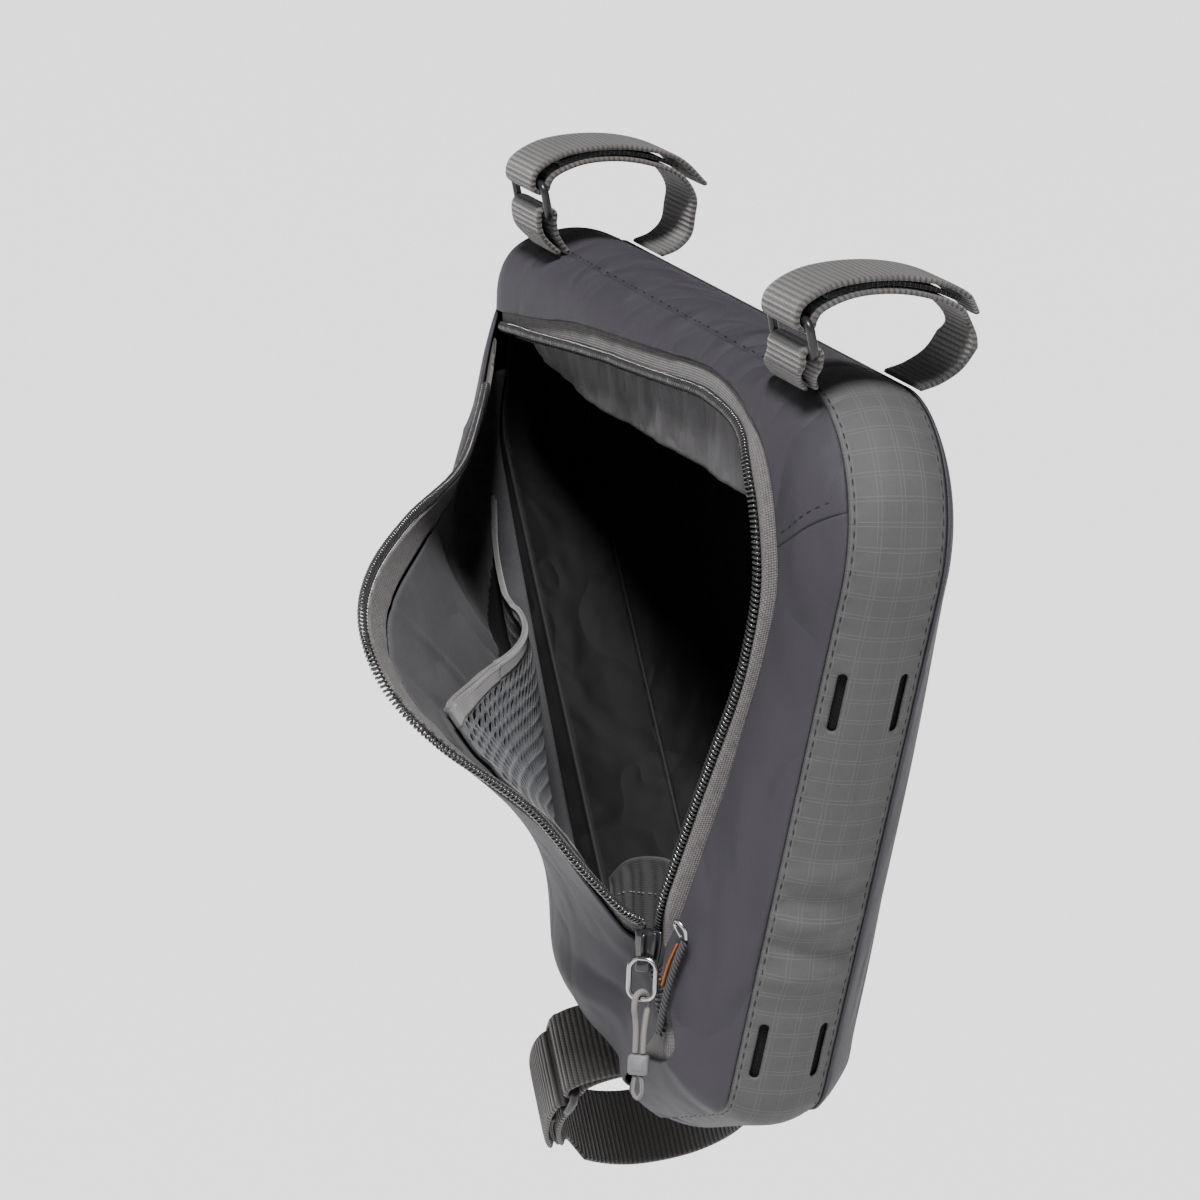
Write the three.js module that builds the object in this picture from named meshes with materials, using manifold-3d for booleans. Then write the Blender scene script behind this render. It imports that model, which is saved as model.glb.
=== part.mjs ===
// A small frame bag for the front corner of a bicycle's frame triangle, hanging as worn with its
// zip open and the left side flap pulled out. Millimetres, +Z up. +X runs to the rear along the top
// tube, +Y to the bicycle's right. The origin is under the top tube, midway between the two straps.

import * as THREE from 'three';
import { mergeVertices } from 'three/addons/utils/BufferGeometryUtils.js';
import Module from 'manifold-3d';

const wasm = await Module();
wasm.setup();

// Driving sizes
const strapSpacing = 219;      // between the centres of the two top straps
const noseOverhang = 38;       // nose ahead of the front strap's centre
const rearOverhang = 28.5;     // rear seam behind the rear strap's centre
const bagDepth = 236;          // top seam to lowest seam
const stripWidth = 28.6;       // gusset strip between its two seams
const stripCrown = 4;          // how far the strip domes out between the seams
const cloth = 1.2;             // shell cloth
const liningCloth = 1.0;
const tapeCloth = 1.0;
const gap = 0.3;               // between sewn pieces
const layerGap = 0.4;          // between cloth layers that lie on each other
const bulgeTop = 10;           // how far a side bulges past its seam, near the top
const bulgeLow = 19;           // the same near the bottom
const shoulder = 5;            // inward distance over which the side turns, at the top
const flank = 12;              // the same lower down
const rightTurn = 15;          // the same on the right side
const flapReach = 122;         // opened flap's edge, out from the centre plane
const tapeWidth = 8;           // zip tape from coil to cloth
const tapeTuck = 1.6;          // tape hidden under the cloth's folded edge
const coilRadius = 1.1;
const webWidth = 25;           // strap webbing
const webCloth = 1.4;
const wireRadius = 1.3;        // wire of the three strap rings
const cordRadius = 0.9;        // puller cord

const bagLength = noseOverhang + strapSpacing + rearOverhang;
const noseX = -strapSpacing / 2 - noseOverhang;
const topZ = -stripCrown;
const halfStrip = stripWidth / 2;
const seamSide = halfStrip + gap + cloth / 2;

const root = new THREE.Group();

// Colours by material
const finish = {
  shell: { color: 0x3a373d, roughness: 0.62, metalness: 0 },
  ripstop: { color: 0x45454a, roughness: 0.7, metalness: 0 },
  lining: { color: 0x77757a, roughness: 0.85, metalness: 0 },
  dark: { color: 0x17171a, roughness: 0.9, metalness: 0 },
  tape: { color: 0x6a6563, roughness: 0.9, metalness: 0 },
  webbing: { color: 0x5a5552, roughness: 0.9, metalness: 0 },
  net: { color: 0x2c323c, roughness: 0.8, metalness: 0 },
  plastic: { color: 0x111214, roughness: 0.45, metalness: 0 },
  steel: { color: 0xb9bbc0, roughness: 0.25, metalness: 1 },
  paleCord: { color: 0x9a9694, roughness: 0.85, metalness: 0 },
  orange: { color: 0xc8702a, roughness: 0.6, metalness: 0 },
};

function addPiece(name, geometry, slot, parent = root) {
  const mesh = new THREE.Mesh(geometry, new THREE.MeshStandardMaterial(finish[slot]));
  mesh.name = name;
  parent.add(mesh);
  return mesh;
}

function positionsOnly(geometry) {
  geometry.deleteAttribute('normal');
  geometry.deleteAttribute('uv');
  return mergeVertices(geometry, 1e-4);
}

function toManifold(geometry) {
  const merged = positionsOnly(geometry.clone());
  const mesh = new wasm.Mesh({
    numProp: 3,
    vertProperties: new Float32Array(merged.attributes.position.array),
    triVerts: new Uint32Array(merged.index.array),
  });
  return new wasm.Manifold(mesh);
}

function fromManifold(solid) {
  const mesh = solid.getMesh();
  const geometry = new THREE.BufferGeometry();
  geometry.setAttribute('position', new THREE.BufferAttribute(mesh.vertProperties, 3));
  geometry.setIndex(new THREE.BufferAttribute(mesh.triVerts, 1));
  return geometry;
}

// A cloth wall: a middle surface given as rows of points, thickened evenly to both sides. skip(i, j)
// leaves a cell open, closed joins the last row to the first.
function clothWall(rows, thickness, { skip = () => false, closed = false } = {}) {
  const columns = rows[0].length;
  const corners = [];
  const lastRow = closed ? rows.length : rows.length - 1;
  for (let i = 0; i < lastRow; i += 1) {
    const here = rows[i];
    const next = rows[(i + 1) % rows.length];
    for (let j = 0; j < columns - 1; j += 1) {
      if (skip(i, j)) continue;
      corners.push(here[j], next[j], next[j + 1], here[j], next[j + 1], here[j + 1]);
    }
  }
  const flat = new THREE.BufferGeometry().setFromPoints(corners);
  const surface = mergeVertices(flat, 1e-4);
  const spots = surface.attributes.position;
  const faces = [];
  for (let k = 0; k < surface.index.count; k += 3) {
    const [a, b, c] = [0, 1, 2].map((m) => surface.index.getX(k + m));
    if (a !== b && b !== c && c !== a) faces.push([a, b, c]);
  }
  const at = (k) => new THREE.Vector3().fromBufferAttribute(spots, k);
  const normals = Array.from({ length: spots.count }, () => new THREE.Vector3());
  for (const [a, b, c] of faces) {
    const facing = at(b).sub(at(a)).cross(at(c).sub(at(a)));
    for (const k of [a, b, c]) normals[k].add(facing);
  }
  const outer = normals.map((n, k) => at(k).addScaledVector(n.clone().normalize(), thickness / 2));
  const inner = normals.map((n, k) => at(k).addScaledVector(n.clone().normalize(), -thickness / 2));
  const edges = new Map();
  const shell = [];
  for (const [a, b, c] of faces) {
    shell.push(outer[a], outer[b], outer[c], inner[a], inner[c], inner[b]);
    for (const [p, q] of [[a, b], [b, c], [c, a]]) {
      if (!edges.delete(`${q},${p}`)) edges.set(`${p},${q}`, [p, q]);
    }
  }
  for (const [p, q] of edges.values()) {
    shell.push(outer[p], inner[p], inner[q], outer[p], inner[q], outer[q]);
  }
  return positionsOnly(new THREE.BufferGeometry().setFromPoints(shell));
}

// Rows of points from a function of two shares, 0 to 1
function gridOf(point, across, along) {
  const rows = [];
  for (let i = 0; i <= across; i += 1) {
    const row = [];
    for (let j = 0; j <= along; j += 1) row.push(point(i / across, j / along));
    rows.push(row);
  }
  return rows;
}

function smooth(t) {
  const x = Math.min(1, Math.max(0, t));
  return x * x * (3 - 2 * x);
}

// Side view of the seam between strip and side, as corners with round radii.
// along is a share of bagLength from the nose, down and radius are shares of bagDepth.
const outlineCorners = [
  { along: 0.0, down: 0.0, radius: 0.085 },
  { along: 1.0, down: 0.0, radius: 0.161 },
  { along: 1.0, down: 0.186, radius: 0.17 },
  { along: 0.839, down: 0.911, radius: 0.06 },
  { along: 0.65, down: 1.0, radius: 0.068 },
  { along: 0.0, down: 0.28, radius: 0.1 },
];

function bagPoint({ along, down }) {
  return new THREE.Vector2(noseX + along * bagLength, topZ - down * bagDepth);
}

function roundedOutline(corners) {
  const path = new THREE.Path();
  const spots = corners.map(bagPoint);
  const count = spots.length;
  const stretch = spots.map((spot, k) => {
    const before = spots[(k + count - 1) % count].clone().sub(spot).normalize();
    const after = spots[(k + 1) % count].clone().sub(spot).normalize();
    const half = Math.acos(before.dot(after)) / 2;
    const radius = corners[k].radius * bagDepth;
    const start = spot.clone().addScaledVector(before, radius / Math.tan(half));
    const centre = spot.clone()
      .addScaledVector(before.clone().add(after).normalize(), radius / Math.sin(half));
    const end = spot.clone().addScaledVector(after, radius / Math.tan(half));
    return { start, end, centre, radius };
  });
  path.moveTo(stretch[0].end.x, stretch[0].end.y);
  for (let k = 1; k <= count; k += 1) {
    const { start, end, centre, radius } = stretch[k % count];
    path.lineTo(start.x, start.y);
    const from = Math.atan2(start.y - centre.y, start.x - centre.x);
    const to = Math.atan2(end.y - centre.y, end.x - centre.x);
    path.absarc(centre.x, centre.y, radius, from, to, true);
  }
  return path;
}

const outline = roundedOutline(outlineCorners);
const outlineLength = outline.getLength();
const outlineSteps = 1440;
const outlineSpots = outline.getSpacedPoints(outlineSteps);

function seamPoint(share) {
  const t = ((share % 1) + 1) % 1;
  const place = t * outlineSteps;
  const k = Math.floor(place);
  const next = outlineSpots[(k + 1) % (outlineSteps + 1)];
  return outlineSpots[k].clone().lerp(next, place - k);
}

function seamOutward(share) {
  const step = 0.5 / outlineSteps;
  const tangent = seamPoint(share + step).sub(seamPoint(share - step)).normalize();
  return new THREE.Vector2(-tangent.y, tangent.x);
}

// Share of the outline that lies nearest to a place in the side view
function seamMark(along, down) {
  const spot = bagPoint({ along, down });
  let best = 0;
  outlineSpots.forEach((p, k) => {
    if (p.distanceTo(spot) < outlineSpots[best].distanceTo(spot)) best = k;
  });
  return best / outlineSteps;
}

function distanceToSeam(x, z) {
  const spot = new THREE.Vector2(x, z);
  return Math.min(...outlineSpots.map((p) => p.distanceTo(spot)));
}

// How far a side stands out from the centre plane at a place in the side view
function sideOut(x, z, turnTop = shoulder, turnLow = flank) {
  const down = (topZ - z) / bagDepth;
  const bulge = THREE.MathUtils.lerp(bulgeTop, bulgeLow, smooth(down / 0.8));
  const turn = THREE.MathUtils.lerp(turnTop, turnLow, smooth(down / 0.25));
  return seamSide + bulge * (1 - Math.exp(-distanceToSeam(x, z) / turn));
}

// Stations round the outline shared by strip and sides, closer together on the rounds
const stationPitch = 34;
const roundPitch = 0.42;
const stations = [];
outline.curves.reduce((done, curve) => {
  const long = curve.getLength();
  const turn = curve.isEllipseCurve ? long / curve.xRadius / roundPitch : long / stationPitch;
  const count = Math.max(1, Math.round(turn));
  for (let k = 0; k < count; k += 1) stations.push((done + (long * k) / count) / outlineLength);
  return done + long;
}, 0);

function stationsBetween(from, to) {
  const near = 2.5 / outlineLength;
  const inside = [...stations, ...stations.map((s) => s + 1)]
    .filter((s) => s > from + near && s < to - near);
  return [from, ...inside, to];
}

// Marks round the outline where the pieces meet
const topJoin = seamMark(0.83, 0.0);
const bottomJoin = seamMark(0.7, 0.99);
const noseJoin = seamMark(0.0, 0.03);
const noseMark = seamMark(0.0, 0.083);
const bottomMark = seamMark(0.625, 0.98);
const pieceGap = gap / outlineLength;

// Gusset strip in three pieces: rear, front and top
const stripCells = 4;
const diagonalFrom = seamMark(0.6, 0.93);
const diagonalTo = seamMark(0.05, 0.36);

function crownAt(share) {
  const t = share % 1;
  const ease = 0.07;
  const onTube = smooth((t - diagonalFrom) / ease) * smooth((diagonalTo - t) / ease);
  return stripCrown * (1 - 0.7 * onTube);
}

function stripPoint(share, y, inset = 0) {
  const seam = seamPoint(share);
  const dome = crownAt(share) * (1 - (y / halfStrip) ** 2);
  seam.addScaledVector(seamOutward(share), dome - cloth / 2 - inset);
  return new THREE.Vector3(seam.x, y, seam.y);
}

function stripPiece(from, to) {
  const rows = stationsBetween(from + pieceGap / 2, to - pieceGap / 2).map((share) => {
    const row = [];
    for (let j = 0; j <= stripCells; j += 1) {
      row.push(stripPoint(share, (0.5 - j / stripCells) * stripWidth));
    }
    return row;
  });
  return clothWall(rows, cloth);
}

// Four slits in the rear strip, in two pairs
const slitLength = 19;
const slitWidth = 2.4;
const slitSpread = 18.4;
const slitRows = [
  { name: 'upper', along: 0.967, down: 0.35 },
  { name: 'lower', along: 0.857, down: 0.822 },
];

function slitCutter(share, y) {
  const half = (slitLength - slitWidth) / 2;
  const shape = new THREE.Shape();
  shape.absarc(half, 0, slitWidth / 2, -Math.PI / 2, Math.PI / 2, false);
  shape.absarc(-half, 0, slitWidth / 2, Math.PI / 2, 1.5 * Math.PI, false);
  const depth = 6 * stripCrown;
  const bar = new THREE.ExtrudeGeometry(shape, { depth, bevelEnabled: false, curveSegments: 2 });
  bar.translate(0, 0, -depth / 2);
  const outward = seamOutward(share);
  const lengthwise = new THREE.Vector3(outward.y, 0, -outward.x);
  const normal = new THREE.Vector3(outward.x, 0, outward.y);
  const sideways = normal.clone().cross(lengthwise);
  const turn = new THREE.Matrix4().makeBasis(lengthwise, sideways, normal);
  const seam = seamPoint(share);
  bar.applyMatrix4(turn);
  bar.translate(seam.x, y, seam.y);
  return toManifold(bar);
}

function rearStrip() {
  let strip = toManifold(stripPiece(topJoin, bottomJoin));
  for (const row of slitRows) {
    for (const side of [-1, 1]) {
      strip = strip.subtract(slitCutter(seamMark(row.along, row.down), side * slitSpread / 2));
    }
  }
  return fromManifold(strip);
}

addPiece('gusset_rear', rearStrip(), 'ripstop');
addPiece('gusset_front', stripPiece(bottomJoin, noseJoin), 'shell');
addPiece('gusset_top', stripPiece(noseJoin, topJoin + 1), 'shell');

// Dark cloth behind each pair of slits
const backingReach = 15;
const backingHalf = 12.6;
for (const row of slitRows) {
  const middle = seamMark(row.along, row.down);
  const inset = cloth + layerGap;
  const rows = gridOf((u, v) => stripPoint(middle + ((2 * u - 1) * backingReach) / outlineLength,
    (1 - 2 * v) * backingHalf, inset), 4, 4);
  addPiece(`slit_backing_${row.name}`, clothWall(rows, liningCloth), 'dark');
}

// Right side: rings from the seam to the middle of the panel
const panelCentre = bagPoint({ along: 0.55, down: 0.4 });
const panelRings = [0, 0.05, 0.12, 0.24, 0.45, 0.7, 1];

function rightPanel() {
  const rows = stations.map((share) => panelRings.map((ring) => {
    const spot = seamPoint(share).lerp(panelCentre, ring);
    return new THREE.Vector3(spot.x, sideOut(spot.x, spot.y, rightTurn, rightTurn), spot.y);
  }));
  return clothWall(rows, cloth, { closed: true });
}

addPiece('right_panel', rightPanel(), 'shell');

// A column of a table at a place between its rows, on a smooth curve through them
function tableAt(table, key, place) {
  const k = Math.min(table.length - 2, Math.max(0, Math.floor(place)));
  const t = place - k;
  const row = (m) => table[Math.min(table.length - 1, Math.max(0, m))][key];
  const slopeHere = (row(k + 1) - row(k - 1)) / 2;
  const slopeNext = (row(k + 2) - row(k)) / 2;
  const t2 = t * t;
  const t3 = t2 * t;
  return (2 * t3 - 3 * t2 + 1) * row(k) + (t3 - 2 * t2 + t) * slopeHere
    + (3 * t2 - 2 * t3) * row(k + 1) + (t3 - t2) * slopeNext;
}

// Left side round the zip. Each row pairs a spot on the seam with a spot on the zip's teeth line,
// and below the zip's end with the seam that joins border and flap. facing is how far the pale
// facing hangs below the teeth.
const sideTable = [
  { seamAlong: 0.005, seamDown: 0.074, along: 0.058, down: 0.123, facing: 0.015 },
  { seamAlong: 0.023, seamDown: 0.023, along: 0.124, down: 0.114, facing: 0.02 },
  { seamAlong: 0.114, seamDown: 0.0, along: 0.201, down: 0.106, facing: 0.045 },
  { seamAlong: 0.352, seamDown: 0.0, along: 0.352, down: 0.087, facing: 0.076 },
  { seamAlong: 0.517, seamDown: 0.0, along: 0.517, down: 0.072, facing: 0.087 },
  { seamAlong: 0.678, seamDown: 0.0, along: 0.678, down: 0.059, facing: 0.1 },
  { seamAlong: 0.839, seamDown: 0.0, along: 0.797, down: 0.076, facing: 0.085 },
  { seamAlong: 0.933, seamDown: 0.021, along: 0.867, down: 0.127, facing: 0.05 },
  { seamAlong: 0.998, seamDown: 0.144, along: 0.9, down: 0.22, facing: 0.03 },
  { seamAlong: 0.986, seamDown: 0.246, along: 0.891, down: 0.331, facing: 0.03 },
  { seamAlong: 0.951, seamDown: 0.394, along: 0.856, down: 0.449, facing: 0.03 },
  { seamAlong: 0.916, seamDown: 0.538, along: 0.818, down: 0.568, facing: 0.03 },
  { seamAlong: 0.888, seamDown: 0.669, along: 0.786, down: 0.661, facing: 0.03 },
  { seamAlong: 0.863, seamDown: 0.788, along: 0.76, down: 0.725, facing: 0.03 },
  { seamAlong: 0.839, seamDown: 0.89, along: 0.784, down: 0.826, facing: 0.03 },
  { seamAlong: 0.734, seamDown: 0.962, along: 0.726, down: 0.884, facing: 0.03 },
  { seamAlong: 0.66, seamDown: 0.985, along: 0.67, down: 0.946, facing: 0.03 },
  { seamAlong: 0.632, seamDown: 0.983, along: 0.641, down: 0.973, facing: 0.03 },
];
const crossSeamPlace = 7.8;
const sliderPlace = 13;
const zipEndPlace = 14;
for (const row of sideTable) {
  const mark = seamMark(row.seamAlong, row.seamDown);
  row.mark = mark > 0.8 ? mark - 1 : mark;
}

const tapeUnder = (cloth + tapeCloth) / 2 + gap + 0.5;

function teethSpot(place) {
  return bagPoint({ along: tableAt(sideTable, 'along', place), down: tableAt(sideTable, 'down', place) });
}

// A spot beside the fixed teeth line, a distance away towards the seam, and a depth under the cloth
function besideTeeth(place, distance, under) {
  const teeth = teethSpot(place);
  const seam = seamPoint(tableAt(sideTable, 'mark', place));
  const spot = teeth.clone().addScaledVector(seam.sub(teeth).normalize(), distance);
  return new THREE.Vector3(spot.x, under - sideOut(spot.x, spot.y), spot.y);
}

const borderColumns = [0, 0.1, 0.25, 0.5, 1];

function leftBorder(from, to, steps) {
  const rows = [];
  for (let i = 0; i <= steps; i += 1) {
    const place = from + ((to - from) * i) / steps;
    const ease = smooth(place - zipEndPlace);
    const edge = besideTeeth(place, THREE.MathUtils.lerp(tapeWidth, 1.2, ease), 0);
    const seam = seamPoint(tableAt(sideTable, 'mark', place));
    rows.push(borderColumns.map((v) => {
      const spot = seam.clone().lerp(new THREE.Vector2(edge.x, edge.z), v);
      return new THREE.Vector3(spot.x, -sideOut(spot.x, spot.y), spot.y);
    }));
  }
  return clothWall(rows, cloth);
}

addPiece('left_border_top', leftBorder(0, crossSeamPlace - 0.005, 16), 'shell');
addPiece('left_border_rear', leftBorder(crossSeamPlace + 0.005, sideTable.length - 1, 20), 'shell');

// Fixed half of the zip
function stripAlong(from, to, steps, point, thickness, cells = 1) {
  return clothWall(gridOf((u, v) => point(from + (to - from) * u, v), steps, cells), thickness);
}

const tapeInner = coilRadius + gap + 0.8;
const tapeOuter = tapeWidth + tapeTuck;
const sliderReach = 0.28;

addPiece('zip_tape_fixed', stripAlong(0, sliderPlace - 0.12, 30, (place, v) => besideTeeth(place,
  THREE.MathUtils.lerp(tapeOuter, tapeInner, v), tapeUnder), tapeCloth), 'tape');

function roundShape(radius, sides) {
  const spots = [];
  for (let k = 0; k < sides; k += 1) {
    const angle = (2 * Math.PI * k) / sides;
    spots.push(new THREE.Vector2(radius * Math.cos(angle), radius * Math.sin(angle)));
  }
  return new THREE.Shape(spots);
}

function tubeAlong(points, radius, sides, steps) {
  const path = new THREE.CatmullRomCurve3(points, false, 'centripetal');
  const geometry = new THREE.ExtrudeGeometry(roundShape(radius, sides), { steps, extrudePath: path,
    bevelEnabled: false });
  return positionsOnly(geometry);
}

function placesBetween(from, to, count) {
  return Array.from({ length: count + 1 }, (_, k) => from + ((to - from) * k) / count);
}

const coilSides = 5;
const coilSteps = 38;
addPiece('zip_coil_fixed', tubeAlong(placesBetween(0.12, sliderPlace - sliderReach, 26)
  .map((place) => besideTeeth(place, 0, tapeUnder)), coilRadius, coilSides, coilSteps), 'tape');

// The opened flap. Each ruling runs from the seam over a belly and back into a valley, then out to
// the teeth on the free edge. seam is the share of the seam from nose to bottom corner.
const flapTable = [
  { seam: 0.0, along: 0.049, out: 0.213, down: 0.136, belly: 0.066, rise: 0.1, valley: 0.197 },
  { seam: 0.03, along: 0.103, out: 0.254, down: 0.153, belly: 0.09, rise: 0.11, valley: 0.215 },
  { seam: 0.17, along: 0.268, out: 0.418, down: 0.208, belly: 0.14, rise: 0.155, valley: 0.28 },
  { seam: 0.32, along: 0.387, out: 0.557, down: 0.237, belly: 0.22, rise: 0.2, valley: 0.42 },
  { seam: 0.46, along: 0.513, out: 0.77, down: 0.263, belly: 0.24, rise: 0.25, valley: 0.39 },
  { seam: 0.57, along: 0.618, out: 0.934, down: 0.301, belly: 0.25, rise: 0.279, valley: 0.2 },
  { seam: 0.66, along: 0.688, out: 1.0, down: 0.347, belly: 0.27, rise: 0.279, valley: 0.165 },
  { seam: 0.73, along: 0.744, out: 0.975, down: 0.407, belly: 0.29, rise: 0.287, valley: 0.172 },
  { seam: 0.8, along: 0.776, out: 0.861, down: 0.466, belly: 0.34, rise: 0.295, valley: 0.189 },
  { seam: 0.86, along: 0.779, out: 0.639, down: 0.542, belly: 0.4, rise: 0.311, valley: 0.205 },
  { seam: 0.9, along: 0.776, out: 0.492, down: 0.619, belly: 0.38, rise: 0.336, valley: 0.221 },
  { seam: 0.93, along: 0.769, out: 0.369, down: 0.678, belly: 0.31, rise: 0.352, valley: 0.238 },
  { seam: 0.96, along: 0.76, out: 0.262, down: 0.72, belly: 0.2, rise: 0.369, valley: 0.254 },
  { seam: 1.0, along: 0.784, out: 0.221, down: 0.822, belly: 0.098, rise: 0.369, valley: 0.221 },
];
const bellyInward = 9;
const flapLast = flapTable.length - 1;
const flapSlider = 12;

function flapRuling(place) {
  const at = (key) => tableAt(flapTable, key, place);
  const share = THREE.MathUtils.lerp(noseMark, bottomMark, at('seam'));
  const seam = seamPoint(share);
  const inward = seamOutward(share).negate();
  const inside = (distance, y) => {
    const spot = seam.clone().addScaledVector(inward, distance);
    return new THREE.Vector3(spot.x, y, spot.y);
  };
  const edge = bagPoint({ along: at('along'), down: at('down') });
  const ends = [inside(0, -seamSide), new THREE.Vector3(edge.x, -at('out') * flapReach, edge.y)];
  const bend = new THREE.CubicBezierCurve3(ends[0],
    inside(bellyInward, -seamSide - at('belly') * flapReach),
    inside(at('rise') * flapReach, -at('valley') * flapReach), ends[1]);
  const opened = smooth(place / 1.4) * smooth(flapLast - place);
  const points = placesBetween(0, 1, 14).map((v) => {
    const flat = ends[0].clone().lerp(ends[1], v);
    flat.y = THREE.MathUtils.lerp(-sideOut(flat.x, flat.z), flat.y, v ** 3);
    return flat.lerp(bend.getPoint(v), opened);
  });
  return new THREE.CatmullRomCurve3(points, false, 'centripetal');
}

// Rows over the flap at given places. distances(length, slant) lists how far along each ruling the
// points lie, slant being the sine of the angle at which the ruling meets the teeth, and lift moves
// them off the cloth towards the bag's inside.
const leastSlant = 0.55;

function flapRows(places, distances, lift) {
  const step = 0.02;
  return places.map((place) => {
    const here = flapRuling(place);
    const side = place + step > flapLast ? -step : step;
    const beside = flapRuling(place + side);
    const long = here.getLength();
    const teethAlong = beside.getPoint(1).sub(here.getPoint(1)).normalize();
    const slant = Math.max(leastSlant, Math.sqrt(1 - teethAlong.dot(here.getTangentAt(1)) ** 2));
    return distances(long, slant).map((distance) => {
      const u = Math.min(1, distance / long);
      const spot = here.getPointAt(u);
      const along = beside.getPointAt(u).sub(spot).multiplyScalar(Math.sign(side));
      return spot.addScaledVector(along.cross(here.getTangentAt(u)).normalize(), -lift);
    });
  });
}

const flapPlaces = placesBetween(0, flapLast, 26);
const flapColumns = [0, 0.06, 0.13, 0.22, 0.33, 0.47, 0.64, 0.82, 1];
const innerLift = (cloth + tapeCloth) / 2 + gap + 0.1;
const liningMargin = 2;        // lining's edge to zip tape
const shellColumns = (long, slant) => flapColumns.map((v) => v * (long - (tapeWidth - 1) / slant));

addPiece('left_flap', clothWall(flapRows(flapPlaces, shellColumns, 0), cloth), 'shell');
addPiece('flap_lining', clothWall(flapRows(flapPlaces.slice(3, -3),
  (long, slant) => [...shellColumns(long, slant).slice(1, -1), long - (tapeOuter + liningMargin) / slant],
  innerLift), liningCloth), 'lining');
const tapePlaces = placesBetween(1.1, flapSlider - 0.35, 34);
const tapeLift = innerLift + 0.2;
const flapTapeInner = tapeInner + 0.3;
addPiece('zip_tape_flap', clothWall(flapRows(tapePlaces,
  (long, slant) => [long - tapeOuter / slant, long - flapTapeInner / slant], tapeLift), tapeCloth), 'tape');
addPiece('zip_coil_flap', tubeAlong(flapRows(tapePlaces.slice(1, -1), (long) => [long], tapeLift)
  .map((row) => row[0]), coilRadius, coilSides, coilSteps), 'tape');

// Closed stretch of the zip below the slider, with the coil as a ridge
const endColumns = [
  { across: -4.4, raised: 0 },
  { across: -2 * coilRadius, raised: 0 },
  { across: 0, raised: coilRadius },
  { across: 2 * coilRadius, raised: 0 },
  { across: tapeOuter, raised: 0 },
];
const zipEndRows = placesBetween(sliderPlace + 0.3, zipEndPlace + 0.1, 7).map((place) => {
  const teeth = teethSpot(place);
  const across = teethSpot(place + 0.05).sub(teeth).normalize().rotateAround(new THREE.Vector2(), Math.PI / 2);
  return endColumns.map((column) => {
    const spot = teeth.clone().addScaledVector(across, column.across);
    return new THREE.Vector3(spot.x, tapeUnder + 0.4 - column.raised - sideOut(spot.x, spot.y), spot.y);
  });
});
addPiece('zip_end', clothWall(zipEndRows, tapeCloth), 'tape');

// Pale facing that hangs inside below the upper teeth
const facingUnder = tapeUnder + (tapeCloth + liningCloth) / 2 + gap + 0.3;
const facingY = 17.5;
addPiece('facing_top', stripAlong(0.3, 7.4, 18, (place, v) => {
  const top = besideTeeth(place, 3, facingUnder);
  const teeth = teethSpot(place);
  const low = new THREE.Vector3(teeth.x - 2, -facingY - 0.8 * Math.sin(place * 5),
    teeth.y - tableAt(sideTable, 'facing', place) * bagDepth);
  return top.lerp(low, v);
}, liningCloth, 2), 'lining');

// Facing behind the slider, with a curved hem
const hemTable = [
  { hemAlong: 0.552, hemDown: 0.72, footAlong: 0.615, footDown: 0.81 },
  { hemAlong: 0.59, hemDown: 0.685, footAlong: 0.65, footDown: 0.815 },
  { hemAlong: 0.64, hemDown: 0.66, footAlong: 0.69, footDown: 0.82 },
  { hemAlong: 0.7, hemDown: 0.64, footAlong: 0.73, footDown: 0.81 },
  { hemAlong: 0.74, hemDown: 0.635, footAlong: 0.77, footDown: 0.79 },
];
const hemY = 24.7;           // close to the flap that it is sewn to
addPiece('facing_bottom', stripAlong(0, hemTable.length - 1, 8, (place, v) => {
  const hem = bagPoint({ along: tableAt(hemTable, 'hemAlong', place), down: tableAt(hemTable, 'hemDown', place) });
  const foot = bagPoint({ along: tableAt(hemTable, 'footAlong', place), down: tableAt(hemTable, 'footDown', place) });
  const spot = hem.lerp(foot, v);
  return new THREE.Vector3(spot.x, -hemY - 2.5 * v, spot.y);
}, liningCloth, 3), 'lining');

// Net pocket over the lower part of the lining. Corners are places on the flap and shares of each
// ruling: outer along the free edge, inner along the valley.
const netHoles = { across: 8, down: 9 };
const pocket = {
  mouthOuter: { place: 7.15, share: 0.8 },
  mouthInner: { place: 2.8, share: 0.15 },
  footOuter: { place: 11.4, share: 0.84 },
  footInner: { place: 11.4, share: 0.38 },
};
const netCloth = 1.2;
const pocketSag = 9;
const bindingWidth = 4.4;
const netLift = innerLift + (liningCloth + netCloth) / 2 + gap + 0.7;

function pocketPoint(across, down) {
  const outer = (key) => THREE.MathUtils.lerp(pocket.mouthOuter[key], pocket.footOuter[key], down);
  const inner = (key) => THREE.MathUtils.lerp(pocket.mouthInner[key], pocket.footInner[key], down);
  const place = THREE.MathUtils.lerp(outer('place'), inner('place'), across);
  const share = THREE.MathUtils.lerp(outer('share'), inner('share'), across);
  const sag = pocketSag * Math.sin(Math.PI * across) * (1 - down) ** 1.5;
  return flapRows([place], (long) => [long * share], netLift + sag)[0][0];
}

const netRows = gridOf((u, v) => pocketPoint(u, v), 2 * netHoles.across + 1, 2 * netHoles.down + 1);
addPiece('mesh_pocket', clothWall(netRows, netCloth, { skip: (i, j) => i % 2 === 1 && j % 2 === 1 }), 'net');

const bindingRows = netRows.map((row) => {
  const away = row[0].clone().sub(row[2]).normalize();
  return [bindingWidth + 1.2, 1.2].map((distance) => row[0].clone().addScaledVector(away, distance));
});
addPiece('pocket_binding', clothWall(bindingRows, 1.6), 'tape');

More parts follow.
